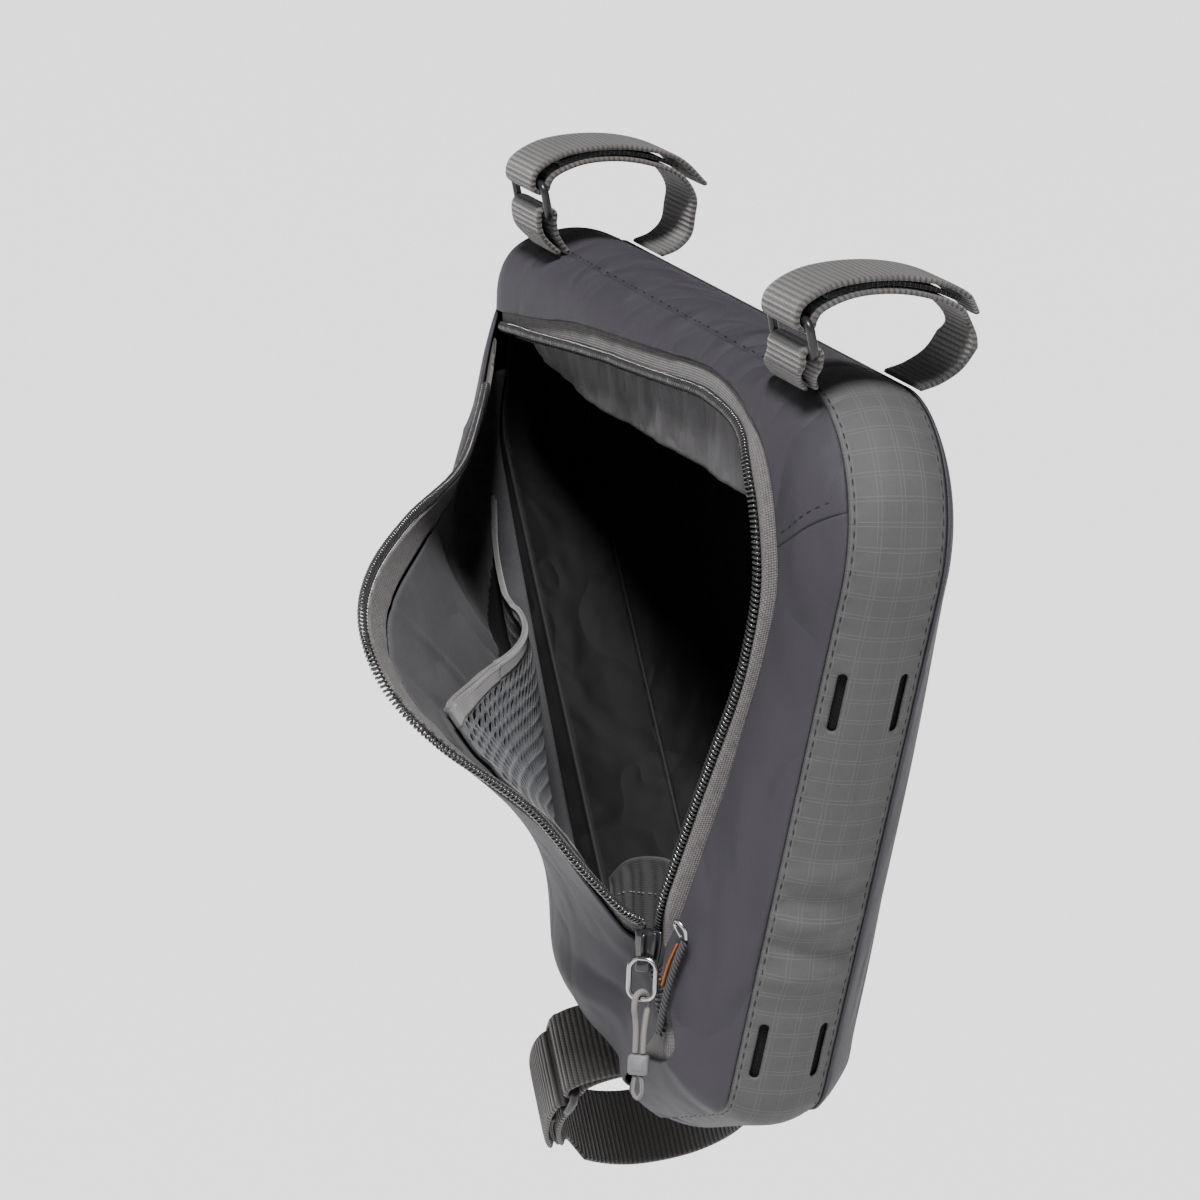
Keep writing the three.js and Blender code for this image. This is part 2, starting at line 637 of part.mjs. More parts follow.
// Straps. Each section lists points across the bag and up from the tube's near face, for a strap
// that goes from the far seam round the tube, under the ring's upper bar and back to a free tail.
const topStrapSection = [
  [15.8, -2.6], [21, -0.2], [24.6, 4], [25.3, 10], [25.2, 16], [20, 22.5], [10, 26], [-2, 27.2],
  [-14, 25.5], [-22.4, 21.2], [-23.8, 18.7], [-24.3, 16.8], [-26.4, 15.8], [-28.5, 16.9], [-29, 19.4],
  [-27.8, 22.7], [-19, 28.2], [2, 31], [19, 27.8], [28.5, 20.3],
];
const topHookSection = [[-20, 25], [-12, 27.6], [-2, 29.05], [10, 28], [19, 25.2]];
const topLoopSection = [
  [-15.6, -2.7], [-19.6, 2.5], [-20.8, 6.5], [-21, 9.6], [-23.4, 10.9], [-25.8, 9.5], [-26, 7],
  [-24.6, 2.5], [-18.6, -3],
];
const topBars = { upper: [-26.4, 18.5], lower: [-23.4, 8.2] };
const downStrapSection = [
  [16, 1.4], [23, 7], [29, 17], [31.2, 30], [28, 44.2], [18, 55.6], [0, 61.3], [-18, 55.6],
  [-28, 44.2], [-31.2, 33], [-30.9, 26], [-30.4, 22.6], [-31, 20.4], [-33, 19.8], [-35.1, 20.6],
  [-36, 23.5], [-35.8, 31], [-32.2, 44], [-24.6, 55.2],
];
const downHookSection = [[-33.2, 33], [-32, 39.2], [-29.7, 44.9], [-26.4, 50.1]];
const downLoopSection = [
  [-16, 1.4], [-22, 3.2], [-28, 7.3], [-30.4, 11], [-30.7, 13.9], [-33, 15.2], [-35.3, 13.8], [-35.5, 11],
  [-31.9, 6.2], [-25, 2.4], [-18.6, 0.6],
];
const downBars = { upper: [-33, 22.5], lower: [-33, 12.5] };
const hookWidth = 21;
const ringCorner = 3;

// A ribbon along a section. lean shifts its foot forwards, taper narrows its last part to a point.
function ribbon(section, { width, thickness, steps, lean = 0, leanTop = 20, taper = 0 }) {
  const path = new THREE.CatmullRomCurve3(section.map(([y, z]) => new THREE.Vector3(0, y, z)), false,
    'centripetal');
  const end = path.getPoint(1);
  const rows = path.getPoints(steps).map((spot) => {
    const shift = -lean * (1 - smooth((spot.z + 4) / leanTop));
    const narrow = taper > 0 ? 0.3 + 0.7 * Math.min(1, spot.distanceTo(end) / taper) : 1;
    return [-1, 1].map((side) => new THREE.Vector3((side * narrow * width) / 2 + shift, spot.y, spot.z));
  });
  return clothWall(rows, thickness);
}

// A flat frame bent from round wire
function wireFrame(halfWidth, halfHeight, wire, corner) {
  const rounded = (w, h, r) => {
    const shape = new THREE.Shape();
    shape.absarc(w - r, h - r, r, 0, Math.PI / 2, false);
    shape.absarc(r - w, h - r, r, Math.PI / 2, Math.PI, false);
    shape.absarc(r - w, r - h, r, Math.PI, 1.5 * Math.PI, false);
    shape.absarc(w - r, r - h, r, 1.5 * Math.PI, 2 * Math.PI, false);
    return new THREE.Shape(shape.getPoints(1));
  };
  const shape = rounded(halfWidth + wire, halfHeight + wire, corner + wire);
  shape.holes.push(rounded(halfWidth - wire, halfHeight - wire, corner - wire));
  const bevel = 0.42 * wire;
  const geometry = new THREE.ExtrudeGeometry(shape, {
    depth: 2 * (wire - bevel), bevelThickness: bevel, bevelSize: bevel, bevelOffset: -bevel,
    bevelSegments: 1,
  });
  geometry.translate(0, 0, bevel - wire);
  return positionsOnly(geometry);
}

function ringAt(bars) {
  const [upper, lower] = [bars.upper, bars.lower].map(([y, z]) => new THREE.Vector3(0, y, z));
  const up = upper.clone().sub(lower);
  const geometry = wireFrame(webWidth / 2 + 0.7 + wireRadius, up.length() / 2, wireRadius, ringCorner);
  const across = new THREE.Vector3(1, 0, 0);
  const frame = new THREE.Matrix4().makeBasis(across, up.clone().normalize(),
    across.clone().cross(up).normalize());
  geometry.applyMatrix4(frame.setPosition(upper.add(lower).multiplyScalar(0.5)));
  return geometry;
}

const cornerSpot = bagPoint({ along: 0.65, down: 1.0 });
const diagonal = bagPoint({ along: 0.0, down: 0.28 }).sub(cornerSpot).normalize();
const downStrapUp = 28;        // strap's centre, up the diagonal from the bottom corner
const strapTable = [
  { name: 'front', at: [-strapSpacing / 2, 0], along: [1, 0], lean: 0, taper: 0, hang: 'top' },
  { name: 'rear', at: [strapSpacing / 2, 0], along: [1, 0], lean: 14, taper: 9, hang: 'top' },
  { name: 'down', at: [cornerSpot.x + diagonal.x * downStrapUp, cornerSpot.y + diagonal.y * downStrapUp],
    along: [diagonal.x, diagonal.y], lean: 0, taper: 9, hang: 'down' },
];
const sections = {
  top: { strap: topStrapSection, hook: topHookSection, loop: topLoopSection, bars: topBars },
  down: { strap: downStrapSection, hook: downHookSection, loop: downLoopSection, bars: downBars },
};

for (const strap of strapTable) {
  const shape = sections[strap.hang];
  const along = new THREE.Vector3(strap.along[0], 0, strap.along[1]);
  const across = new THREE.Vector3(0, 1, 0);
  const place = new THREE.Matrix4().makeBasis(along, across, along.clone().cross(across))
    .setPosition(strap.at[0], 0, strap.at[1]);
  const web = { width: webWidth, thickness: webCloth, lean: strap.lean };
  const parts = {
    strap: ribbon(shape.strap, { ...web, steps: 2 * (shape.strap.length - 1), taper: strap.taper }),
    hook: ribbon(shape.hook, { width: hookWidth, thickness: 1.2, steps: 8 }),
    loop: ribbon(shape.loop, { ...web, steps: 2 * (shape.loop.length - 1), leanTop: 11 }),
    ring: ringAt(shape.bars),
  };
  const slots = { strap: 'webbing', hook: 'dark', loop: 'webbing', ring: 'plastic' };
  for (const [part, geometry] of Object.entries(parts)) {
    geometry.applyMatrix4(place);
    addPiece(`${strap.name}_${part}`, geometry, slots[part]);
  }
}

// Slider and pull. They hang plumb from the slider: down is the way of gravity on a sloping tube.
const tubeSlope = 7.2;
const plumb = new THREE.Vector3(Math.sin(THREE.MathUtils.degToRad(tubeSlope)), 0,
  -Math.cos(THREE.MathUtils.degToRad(tubeSlope)));
const sliderFacing = new THREE.Vector3(0.5, -0.87, 0).normalize();
const bailTurn = THREE.MathUtils.degToRad(23);
const sliderBody = { width: 8, height: 10.5, depth: 3.6 };
const sliderStandoff = 5;
const bail = { halfWidth: 4, halfHeight: 5.8, wire: 0.8 };
const teethEnd = teethSpot(sliderPlace);
const sliderCentre = new THREE.Vector3(teethEnd.x, tapeUnder - sideOut(teethEnd.x, teethEnd.y), teethEnd.y)
  .addScaledVector(sliderFacing, sliderStandoff);

// Axes of a hanging piece that faces one way: across, down and forward
function hangingAxes(facing) {
  const across = facing.clone().cross(plumb).normalize();
  return { across, down: plumb, forward: plumb.clone().cross(across).normalize() };
}

const sliderAxes = hangingAxes(sliderFacing);
const pullAxes = hangingAxes(sliderFacing.clone().applyAxisAngle(new THREE.Vector3(0, 0, 1), bailTurn));

function hungSpot(axes, across, down, forward) {
  return sliderCentre.clone().addScaledVector(axes.across, across).addScaledVector(axes.down, down)
    .addScaledVector(axes.forward, forward);
}

function hung(geometry, axes, centre) {
  const up = axes.down.clone().negate();
  const frame = new THREE.Matrix4().makeBasis(up.clone().cross(axes.forward), up, axes.forward);
  geometry.applyMatrix4(frame.setPosition(centre));
  return geometry;
}

function roundedBlock({ width, height, depth }, corner) {
  const shape = new THREE.Shape();
  const [w, h] = [width / 2, height / 2];
  shape.absarc(w - corner, h - corner, corner, 0, Math.PI / 2, false);
  shape.absarc(corner - w, h - corner, corner, Math.PI / 2, Math.PI, false);
  shape.absarc(corner - w, corner - h, corner, Math.PI, 1.5 * Math.PI, false);
  shape.absarc(w - corner, corner - h, corner, 1.5 * Math.PI, 2 * Math.PI, false);
  const bevel = 0.5;
  const geometry = new THREE.ExtrudeGeometry(new THREE.Shape(shape.getPoints(1)), {
    depth: depth - 2 * bevel, bevelThickness: bevel, bevelSize: bevel, bevelOffset: -bevel,
    bevelSegments: 1,
  });
  geometry.translate(0, 0, bevel - depth / 2);
  return positionsOnly(geometry);
}

addPiece('zip_slider', hung(roundedBlock(sliderBody, 2), sliderAxes, sliderCentre), 'plastic');
const bailForward = sliderBody.depth / 2 + gap + bail.wire + (bail.halfWidth + bail.wire) * Math.sin(bailTurn);
const bailCentre = 3 + bail.halfHeight;
addPiece('puller_bail', hung(wireFrame(bail.halfWidth, bail.halfHeight, bail.wire, 3), pullAxes,
  hungSpot(pullAxes, 0, bailCentre, bailForward)), 'steel');

// Cord looped through the bail, its two legs down to the tag
const cordDrop = 16;
const tagSize = { width: 6, height: 6, depth: 3.4 };
const bailFoot = bailCentre + bail.halfHeight;
const cordBend = bail.wire + cordRadius + 0.35;
const legHalf = cordRadius + 0.2;
addPiece('puller_cord', tubeAlong([
  [-legHalf, cordDrop, 0], [-legHalf, 10, 0.2], [-legHalf - 0.2, 5.5, 0.9], [-legHalf - 0.3, 2.6, cordBend],
  [-1.2, -0.6, cordBend * 0.9], [-0.6, -cordBend * 0.85, cordBend * 0.45], [0, -cordBend, 0],
  [0.6, -cordBend * 0.85, -cordBend * 0.45], [1.2, -0.6, -cordBend * 0.9],
  [legHalf + 0.3, 2.6, -cordBend], [legHalf + 0.2, 5.5, -0.9], [legHalf, 10, -0.2], [legHalf, cordDrop, 0],
].map(([x, down, forward]) => hungSpot(pullAxes, x, bailFoot + down, bailForward + forward)), cordRadius, 8, 28),
'paleCord');
const tagCentre = bailFoot + cordDrop + gap + tagSize.height / 2;
addPiece('puller_tag', hung(roundedBlock(tagSize, 1.2), pullAxes,
  hungSpot(pullAxes, 0, tagCentre, bailForward)), 'plastic');
const tagFoot = tagCentre + tagSize.height / 2 + gap;
addPiece('puller_loop', tubeAlong([[-0.9, 0], [-1.3, 3], [-1.2, 5.2], [0, 6.6], [1.2, 5.2], [1.3, 3], [0.9, 0]]
  .map(([x, down]) => hungSpot(pullAxes, x, tagFoot + down, bailForward)), 0.6, 6, 12), 'paleCord');

// Second pull, beside the closed end of the zip
addPiece('hold_cord', tubeAlong([[90, -31.6, -168], [86.4, -32.2, -176], [82.5, -32.6, -187], [78.6, -32.2, -199]]
  .map(([x, y, z]) => new THREE.Vector3(x, y, z)), 1.1, 8, 14), 'dark');
addPiece('hold_wire', tubeAlong([[88.8, -31.4, -166.9], [87, -33, -163.6], [90.4, -33.6, -161.8], [92.6, -32, -163.8],
  [91.4, -30.8, -166.9]].map(([x, y, z]) => new THREE.Vector3(x, y - 0.8, z)), 0.6, 6, 12), 'steel');
addPiece('edge_tab', clothWall([[86.2, -31, -170], [83.2, -31.6, -177], [80.6, -32, -184.5]]
  .map(([x, y, z]) => [new THREE.Vector3(x, y - 1.6, z), new THREE.Vector3(x - 1, y - 0.2, z)]), 0.6), 'orange');

export default root;
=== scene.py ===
# A small frame bag that hangs in the front corner of a bicycle's frame, zip open, made piece by piece in the
# order in which it is sewn. Metres, +X to the bicycle's rear, +Y to its right, +Z up, square to the top tube.

import math

import bpy
import numpy as np
from mathutils import Matrix, Vector


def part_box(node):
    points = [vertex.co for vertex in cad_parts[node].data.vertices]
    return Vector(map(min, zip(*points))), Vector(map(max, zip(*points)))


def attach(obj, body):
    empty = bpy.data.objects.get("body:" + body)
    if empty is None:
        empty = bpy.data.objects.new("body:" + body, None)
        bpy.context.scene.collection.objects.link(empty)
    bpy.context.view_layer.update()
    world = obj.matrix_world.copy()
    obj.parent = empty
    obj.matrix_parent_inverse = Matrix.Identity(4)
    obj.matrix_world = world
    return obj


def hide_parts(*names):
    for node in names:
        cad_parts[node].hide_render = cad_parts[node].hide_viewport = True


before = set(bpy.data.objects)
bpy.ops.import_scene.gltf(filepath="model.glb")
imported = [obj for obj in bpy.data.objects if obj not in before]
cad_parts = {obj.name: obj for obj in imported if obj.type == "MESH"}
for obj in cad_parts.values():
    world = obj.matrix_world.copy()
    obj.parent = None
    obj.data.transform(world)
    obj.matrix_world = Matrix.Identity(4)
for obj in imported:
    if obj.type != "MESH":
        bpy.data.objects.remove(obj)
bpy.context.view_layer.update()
mm = 0.001

# Camera
# Stands behind and to the left of the bag, a little above it, with a long lens. It is tilted with the tube
# that the bag hangs from, because the bag's own frame is square to that sloping tube.
camera_place = Vector((1.3531, -0.5527, 0.2506))
camera_azimuth = math.radians(68.95)
camera_elevation = math.radians(13.23)
camera_roll = math.radians(5.1)
lens_length = 150
sensor_width = 36

camera_data = bpy.data.cameras.new("photo_camera")
camera_data.lens = lens_length
camera_data.sensor_width = sensor_width
camera = bpy.data.objects.new("photo_camera", camera_data)
bpy.context.scene.collection.objects.link(camera)
back = Vector((math.sin(camera_azimuth) * math.cos(camera_elevation),
               -math.cos(camera_azimuth) * math.cos(camera_elevation), math.sin(camera_elevation)))
level = Vector((math.cos(camera_azimuth), math.sin(camera_azimuth), 0))
upright = back.cross(level)
across = level * math.cos(camera_roll) + upright * math.sin(camera_roll)
up = upright * math.cos(camera_roll) - level * math.sin(camera_roll)
turned = Matrix((across, up, back)).transposed().to_4x4()
camera.matrix_world = Matrix.Translation(camera_place) @ turned
bpy.context.scene.camera = camera

# Puller cord and second pull's cord
# The puller is a braided cord of 1.8 mm, doubled through the slider's wire loop, its two ends held in the tag.
# Beside the zip's closed end hangs a twisted dark cord of 2.2 mm, the pull of a small hook.
slope = math.radians(7.2)          # of the top tube, so things hang this much off the bag's -Z
plumb = Vector((math.sin(slope), 0, -math.cos(slope)))
slider_facing = Vector((0.5, -0.87, 0)).normalized()
bail_turn = math.radians(23)
slider_low, slider_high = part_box("zip_slider")
slider_middle = (slider_low + slider_high) / 2
slider_width, slider_height, slider_depth = 8 * mm, 10.5 * mm, 3.6 * mm
bail_half_width, bail_half_height, bail_wire = 4 * mm, 5.8 * mm, 0.8 * mm
cord_radius = 0.9 * mm
cord_drop = 16 * mm
small_gap = 0.3 * mm


def hanging_axes(facing):
    """Across, down and forward of a piece that hangs plumb and faces one way."""
    sideways = facing.cross(plumb).normalized()
    return sideways, plumb, plumb.cross(sideways).normalized()


slider_axes = hanging_axes(slider_facing)
pull_axes = hanging_axes(Matrix.Rotation(bail_turn, 3, "Z") @ slider_facing)
bail_forward = slider_depth / 2 + small_gap + bail_wire + (bail_half_width + bail_wire) * math.sin(bail_turn)
bail_down = 3 * mm + bail_half_height


def hung(axes, sideways, down, forward):
    """A spot given across, down and forward from the slider's middle."""
    return slider_middle + axes[0] * sideways + axes[1] * down + axes[2] * forward


def centripetal(points, steps):
    """A smooth line through given points, with as many steps between each pair."""
    p = np.array(points, float)
    p = np.vstack([2 * p[0] - p[1], p, 2 * p[-1] - p[-2]])
    line = []
    for k in range(1, len(p) - 2):
        d0, d1, d2 = (max(1e-9, np.linalg.norm(p[k + m] - p[k + m - 1])) ** 0.5 for m in range(3))
        leave = ((p[k] - p[k - 1]) / d0 - (p[k + 1] - p[k - 1]) / (d0 + d1) + (p[k + 1] - p[k]) / d1) * d1
        reach = ((p[k + 1] - p[k]) / d1 - (p[k + 2] - p[k]) / (d1 + d2) + (p[k + 2] - p[k + 1]) / d2) * d1
        for t in np.arange(steps) / steps:
            line.append((2 * t ** 3 - 3 * t ** 2 + 1) * p[k] + (t ** 3 - 2 * t ** 2 + t) * leave
                        + (3 * t ** 2 - 2 * t ** 3) * p[k + 1] + (t ** 3 - t ** 2) * reach)
    return np.array(line + [p[-2]])


def run_along(line):
    """How far along a line each of its points lies."""
    return np.concatenate([[0], np.cumsum(np.linalg.norm(np.diff(line, axis=0), axis=1))])


def evened(line, pitch):
    """The same line with its points a set pitch apart."""
    run = run_along(line)
    marks = np.linspace(0, run[-1], max(2, int(round(run[-1] / pitch)) + 1))
    return np.stack([np.interp(marks, run, line[:, k]) for k in range(3)], 1)


def unit(v):
    """Vectors brought to length one."""
    return v / np.maximum(np.linalg.norm(v, axis=-1, keepdims=True), 1e-12)


def new_piece(name, spots, faces, cloth, stands_for=(), slot=None, body="root"):
    """A mesh object that rides on the bag. cloth says where each point lies on its flat material."""
    mesh = bpy.data.meshes.new(name)
    mesh.from_pydata([tuple(s) for s in spots], [], [tuple(int(k) for k in f) for f in faces])
    mesh.attributes.new("cloth", "FLOAT_VECTOR", "POINT").data.foreach_set(
        "vector", np.asarray(cloth, np.float32).ravel())
    mesh.polygons.foreach_set("use_smooth", np.ones(len(mesh.polygons), bool))
    mesh.update()
    made = bpy.data.objects.new(name, mesh)
    bpy.context.scene.collection.objects.link(made)
    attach(made, body)
    if stands_for:
        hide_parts(*stands_for)
    return made


def tube_mesh(line, radius, sides, loop=False, squeeze=1.0, lift=None):
    """Points, faces and cloth places of a tube along a line. lift gives the way its section's height points."""
    line = np.asarray(line, float)
    count = len(line)
    run = run_along(line)
    ahead = unit(np.roll(line, -1, 0) - np.roll(line, 1, 0)) if loop else unit(np.gradient(line, axis=0))
    if lift is None:
        first = np.cross(ahead[0], [0.3, 0.2, 0.9])
        normals = [first / np.linalg.norm(first)]
        for k in range(1, count):
            carried = normals[-1] - ahead[k] * np.dot(normals[-1], ahead[k])
            normals.append(carried / np.linalg.norm(carried))
        normal = np.array(normals)
    else:
        normal = unit(lift - ahead * np.sum(lift * ahead, 1, keepdims=True))
    beside = np.cross(ahead, normal)
    angle = np.arange(sides) * 2 * np.pi / sides
    wide = np.broadcast_to(np.asarray(radius, float), (count,))
    ring = (normal[:, None] * np.cos(angle)[None, :, None] * squeeze
            + beside[:, None] * np.sin(angle)[None, :, None]) * wide[:, None, None]
    spots = (line[:, None] + ring).reshape(-1, 3)
    cloth = np.stack([np.broadcast_to(angle * np.max(wide), (count, sides)),
                      np.broadcast_to(run[:, None], (count, sides)), np.ones((count, sides))], -1)
    i, j = np.meshgrid(np.arange(count if loop else count - 1), np.arange(sides), indexing="ij")
    here, there, after = i * sides, ((i + 1) % count) * sides, (j + 1) % sides
    faces = np.stack([here + j, here + after, there + after, there + j], -1).reshape(-1, 4).tolist()
    if not loop:
        faces += [list(range(sides))[::-1], [(count - 1) * sides + k for k in range(sides)]]
    return spots, faces, cloth.reshape(-1, 3)


def joined(parts):
    """Several meshes as one: their points, faces and cloth places."""
    spots, faces, cloth, start = [], [], [], 0
    for p, f, c in parts:
        spots.append(p)
        cloth.append(c)
        faces += [[k + start for k in face] for face in f]
        start += len(p)
    return np.vstack(spots), faces, np.vstack(cloth)


def add_node(tree, kind, inputs=(), **settings):
    """A shader node with its settings made and its inputs set or joined."""
    made = tree.nodes.new(kind)
    for key, value in settings.items():
        setattr(made, key, value)
    for key, value in dict(inputs).items():
        if isinstance(value, bpy.types.NodeSocket):
            tree.links.new(value, made.inputs[key])
        else:
            made.inputs[key].default_value = value
    return made


def sums(tree, operation, *values):
    """A sum, product or other sum of numbers in a node tree."""
    return add_node(tree, "ShaderNodeMath", dict(enumerate(values)), operation=operation).outputs[0]


def cloth_place(tree):
    """Where a spot lies on its flat cloth: across, along, and 1 outside or -1 inside."""
    place = add_node(tree, "ShaderNodeAttribute", attribute_name="cloth").outputs["Vector"]
    return add_node(tree, "ShaderNodeSeparateXYZ", {0: place}).outputs


def effect(name, inputs, outputs):
    """An empty effect with named inputs and outputs, and its two end nodes."""
    tree = bpy.data.node_groups.new(name, "ShaderNodeTree")
    for way, sockets in (("INPUT", inputs), ("OUTPUT", outputs)):
        for socket, kind in sockets:
            tree.interface.new_socket(socket, in_out=way, socket_type="NodeSocket" + kind)
    return tree, tree.nodes.new("NodeGroupInput").outputs, tree.nodes.new("NodeGroupOutput").inputs


def use(tree, group, **values):
    """An effect's outputs, with its inputs set or joined. An underscore stands for a space."""
    made = tree.nodes.new("ShaderNodeGroup")
    made.node_tree = group
    for key, value in values.items():
        socket = made.inputs[key.replace("_", " ")]
        if isinstance(value, bpy.types.NodeSocket):
            tree.links.new(value, socket)
        else:
            socket.default_value = value
    return made.outputs


# Patches of lighter and darker cloth, as dye and dust leave them
mottle, given, gives = effect("mottle", [("Size", "Float"), ("Amount", "Float")], [("Shade", "Float")])
where = add_node(mottle, "ShaderNodeNewGeometry").outputs["Position"]
scaled = sums(mottle, "DIVIDE", 1.0, given["Size"])
broad = add_node(mottle, "ShaderNodeTexNoise", {"Vector": where, "Scale": scaled, "Detail": 4.0,
                                                "Roughness": 0.6}).outputs["Fac"]
fine = add_node(mottle, "ShaderNodeTexNoise", {"Vector": where, "Scale": 900.0, "Detail": 2.0}).outputs["Fac"]
both = sums(mottle, "ADD", sums(mottle, "MULTIPLY", broad, 0.7), sums(mottle, "MULTIPLY", fine, 0.3))
swing = sums(mottle, "MULTIPLY", sums(mottle, "SUBTRACT", both, 0.5), given["Amount"])
mottle.links.new(sums(mottle, "ADD", swing, 1.0), gives["Shade"])

# Plain weave: threads over and under each other. Height is the relief, 0 to 1.
weave, given, gives = effect("plain weave", [("Across", "Float"), ("Along", "Float")],
                             [("Height", "Float"), ("Warp", "Float")])
flat = cloth_place(weave)
waves = [sums(weave, "SINE", sums(weave, "MULTIPLY", sums(weave, "DIVIDE", flat[k], given[n]), math.pi))
         for k, n in ((0, "Across"), (1, "Along"))]
warp, weft = (sums(weave, "ABSOLUTE", w) for w in waves)
over = sums(weave, "GREATER_THAN", sums(weave, "MULTIPLY", *waves), 0.0)
high_warp = sums(weave, "MULTIPLY", warp, sums(weave, "MULTIPLY_ADD", weft, 0.35, 0.65))
high_weft = sums(weave, "MULTIPLY", weft, sums(weave, "MULTIPLY_ADD", warp, 0.35, 0.65))
relief = sums(weave, "ADD", sums(weave, "MULTIPLY", high_warp, over),
              sums(weave, "MULTIPLY", high_weft, sums(weave, "SUBTRACT", 1.0, over)))
weave.links.new(relief, gives["Height"])
weave.links.new(over, gives["Warp"])

# Twisted or braided strands: slanting ridges round a cord
braid, given, gives = effect("braid", [("Turn", "Float"), ("Pitch", "Float"), ("Crossed", "Float")],
                             [("Height", "Float")])
flat = cloth_place(braid)
round_part = sums(braid, "DIVIDE", flat[0], given["Turn"])
long_part = sums(braid, "DIVIDE", flat[1], given["Pitch"])
slants = [sums(braid, "ABSOLUTE", sums(braid, "SINE", sums(braid, "MULTIPLY", sums(
    braid, way, long_part, round_part), math.pi))) for way in ("ADD", "SUBTRACT")]
crossing = sums(braid, "MULTIPLY", slants[1], given["Crossed"])
braid.links.new(sums(braid, "MAXIMUM", slants[0], crossing), gives["Height"])

# Soft creases, as thin cloth keeps them: broad hollows with narrower ridges between
crease, given, gives = effect("soft creases", [("Size", "Float")], [("Height", "Float")])
where = add_node(crease, "ShaderNodeNewGeometry").outputs["Position"]
scaled = sums(crease, "DIVIDE", 1.0, given["Size"])
stretch = add_node(crease, "ShaderNodeVectorMath", {0: where, 1: (1.0, 1.0, 0.45)}, operation="MULTIPLY")
broad = add_node(crease, "ShaderNodeTexNoise", {"Vector": stretch.outputs["Vector"], "Scale": scaled,
                                                "Detail": 2.0, "Roughness": 0.45, "Distortion": 0.25})
ridge = sums(crease, "ABSOLUTE", sums(crease, "SUBTRACT", broad.outputs["Fac"], 0.5))
crease.links.new(sums(crease, "POWER", ridge, 1.1), gives["Height"])


soft_specular = 0.25


def finish_of(name, color, roughness, shade, height=None, depth=0.0, painted_thread_shade=0.0, sheen=0.0, metallic=0.0,
              coat=0.0, inner=1.0, creased=0.0, crease_size=26 * mm):
    """A material: its colour varied by the random mottle that shade sets and darkened as painted shade in the
    hollows between the threads, its relief from height, depth metres. inner darkens the side that faces into
    the bag as painted shade, creased is the depth of its soft creases."""
    made = bpy.data.materials.new(name)
    made.use_nodes = True
    tree = made.node_tree
    shader = tree.nodes["Principled BSDF"]
    shader.inputs["Roughness"].default_value = roughness
    shader.inputs["Metallic"].default_value = metallic
    shader.inputs["Sheen Weight"].default_value = sheen
    shader.inputs["Coat Weight"].default_value = coat
    shader.inputs["Specular IOR Level"].default_value = soft_specular
    light = use(tree, mottle, Size=shade[0], Amount=shade[1])["Shade"]
    worn = None
    if creased:
        folds = use(tree, crease, Size=crease_size)["Height"]
        worn = add_node(tree, "ShaderNodeBump", {"Height": folds, "Strength": 1.0, "Distance": creased})
        tree.links.new(worn.outputs["Normal"], shader.inputs["Normal"])
    if height is not None:
        relief = height(tree)
        # Painted shade: the colour is darkened where the relief is low, in the hollows between the threads.
        between = sums(tree, "MULTIPLY_ADD", relief, painted_thread_shade, 1.0 - painted_thread_shade)
        light = sums(tree, "MULTIPLY", light, between)
        bump = add_node(tree, "ShaderNodeBump", {"Height": relief, "Strength": 1.0, "Distance": depth})
        if worn is not None:
            tree.links.new(worn.outputs["Normal"], bump.inputs["Normal"])
        tree.links.new(bump.outputs["Normal"], shader.inputs["Normal"])
    # Painted shade: faces that look into the bag keep only the share inner of their colour, standing for the shade
    # inside it.
    if inner < 1:
        facing = cloth_place(tree)[2]
        inside = add_node(tree, "ShaderNodeMapRange", {"Value": facing, "From Min": -0.5, "From Max": 0.0,
                                                       "To Min": inner, "To Max": 1.0}).outputs[0]
        light = sums(tree, "MULTIPLY", light, inside)
    tint = add_node(tree, "ShaderNodeVectorMath", {0: color, 1: light}, operation="MULTIPLY")
    tree.links.new(tint.outputs["Vector"], shader.inputs["Base Color"])
    rough = sums(tree, "MULTIPLY_ADD", light, -0.12, roughness + 0.12)
    tree.links.new(rough, shader.inputs["Roughness"])
    return made


def woven(across, along):
    """Relief of a plain weave with threads this far apart."""
    return lambda tree: use(tree, weave, Across=across, Along=along)["Height"]


def stranded(turn, pitch, crossed=0.0):
    """Relief of a twisted cord, or of a braided one where its strands cross."""
    return lambda tree: use(tree, braid, Turn=turn, Pitch=pitch, Crossed=crossed)["Height"]


def paint(piece, material):
    """Gives a piece one material."""
    piece.data.materials.clear()
    piece.data.materials.append(material)


pale_braid = finish_of("pale_braid", (0.17, 0.16, 0.155), 0.75, (0.01, 0.3),
                       stranded(0.9 * mm, 1.1 * mm, 1.0),
                       0.25 * mm, 0.75)
dark_twist = finish_of("dark_twist", (0.055, 0.054, 0.058), 0.6, (0.01, 0.3),
                       stranded(1.73 * mm, 1.5 * mm),
                       0.5 * mm, 0.7)

bail_foot = bail_down + bail_half_height
cord_bend = bail_wire + cord_radius + 0.35 * mm
leg = cord_radius + 0.2 * mm
puller_route = [(-leg, cord_drop, 0), (-leg, 10 * mm, 0.2 * mm), (-leg - 0.2 * mm, 5.5 * mm, 0.9 * mm),
                (-leg - 0.3 * mm, 2.6 * mm, cord_bend), (-1.2 * mm, -0.6 * mm, cord_bend * 0.9),
                (-0.6 * mm, -cord_bend * 0.85, cord_bend * 0.45), (0, -cord_bend, 0)]
puller_route += [(-x, down, -forward) for x, down, forward in puller_route[-2::-1]]
puller_line = evened(centripetal([hung(pull_axes, x, bail_foot + down, bail_forward + forward)
                                  for x, down, forward in puller_route], 12), 0.45 * mm)
puller_cord = new_piece("braided_puller", *tube_mesh(puller_line, cord_radius, 16), ["puller_cord"],
                        "pale_cord")
paint(puller_cord, pale_braid)

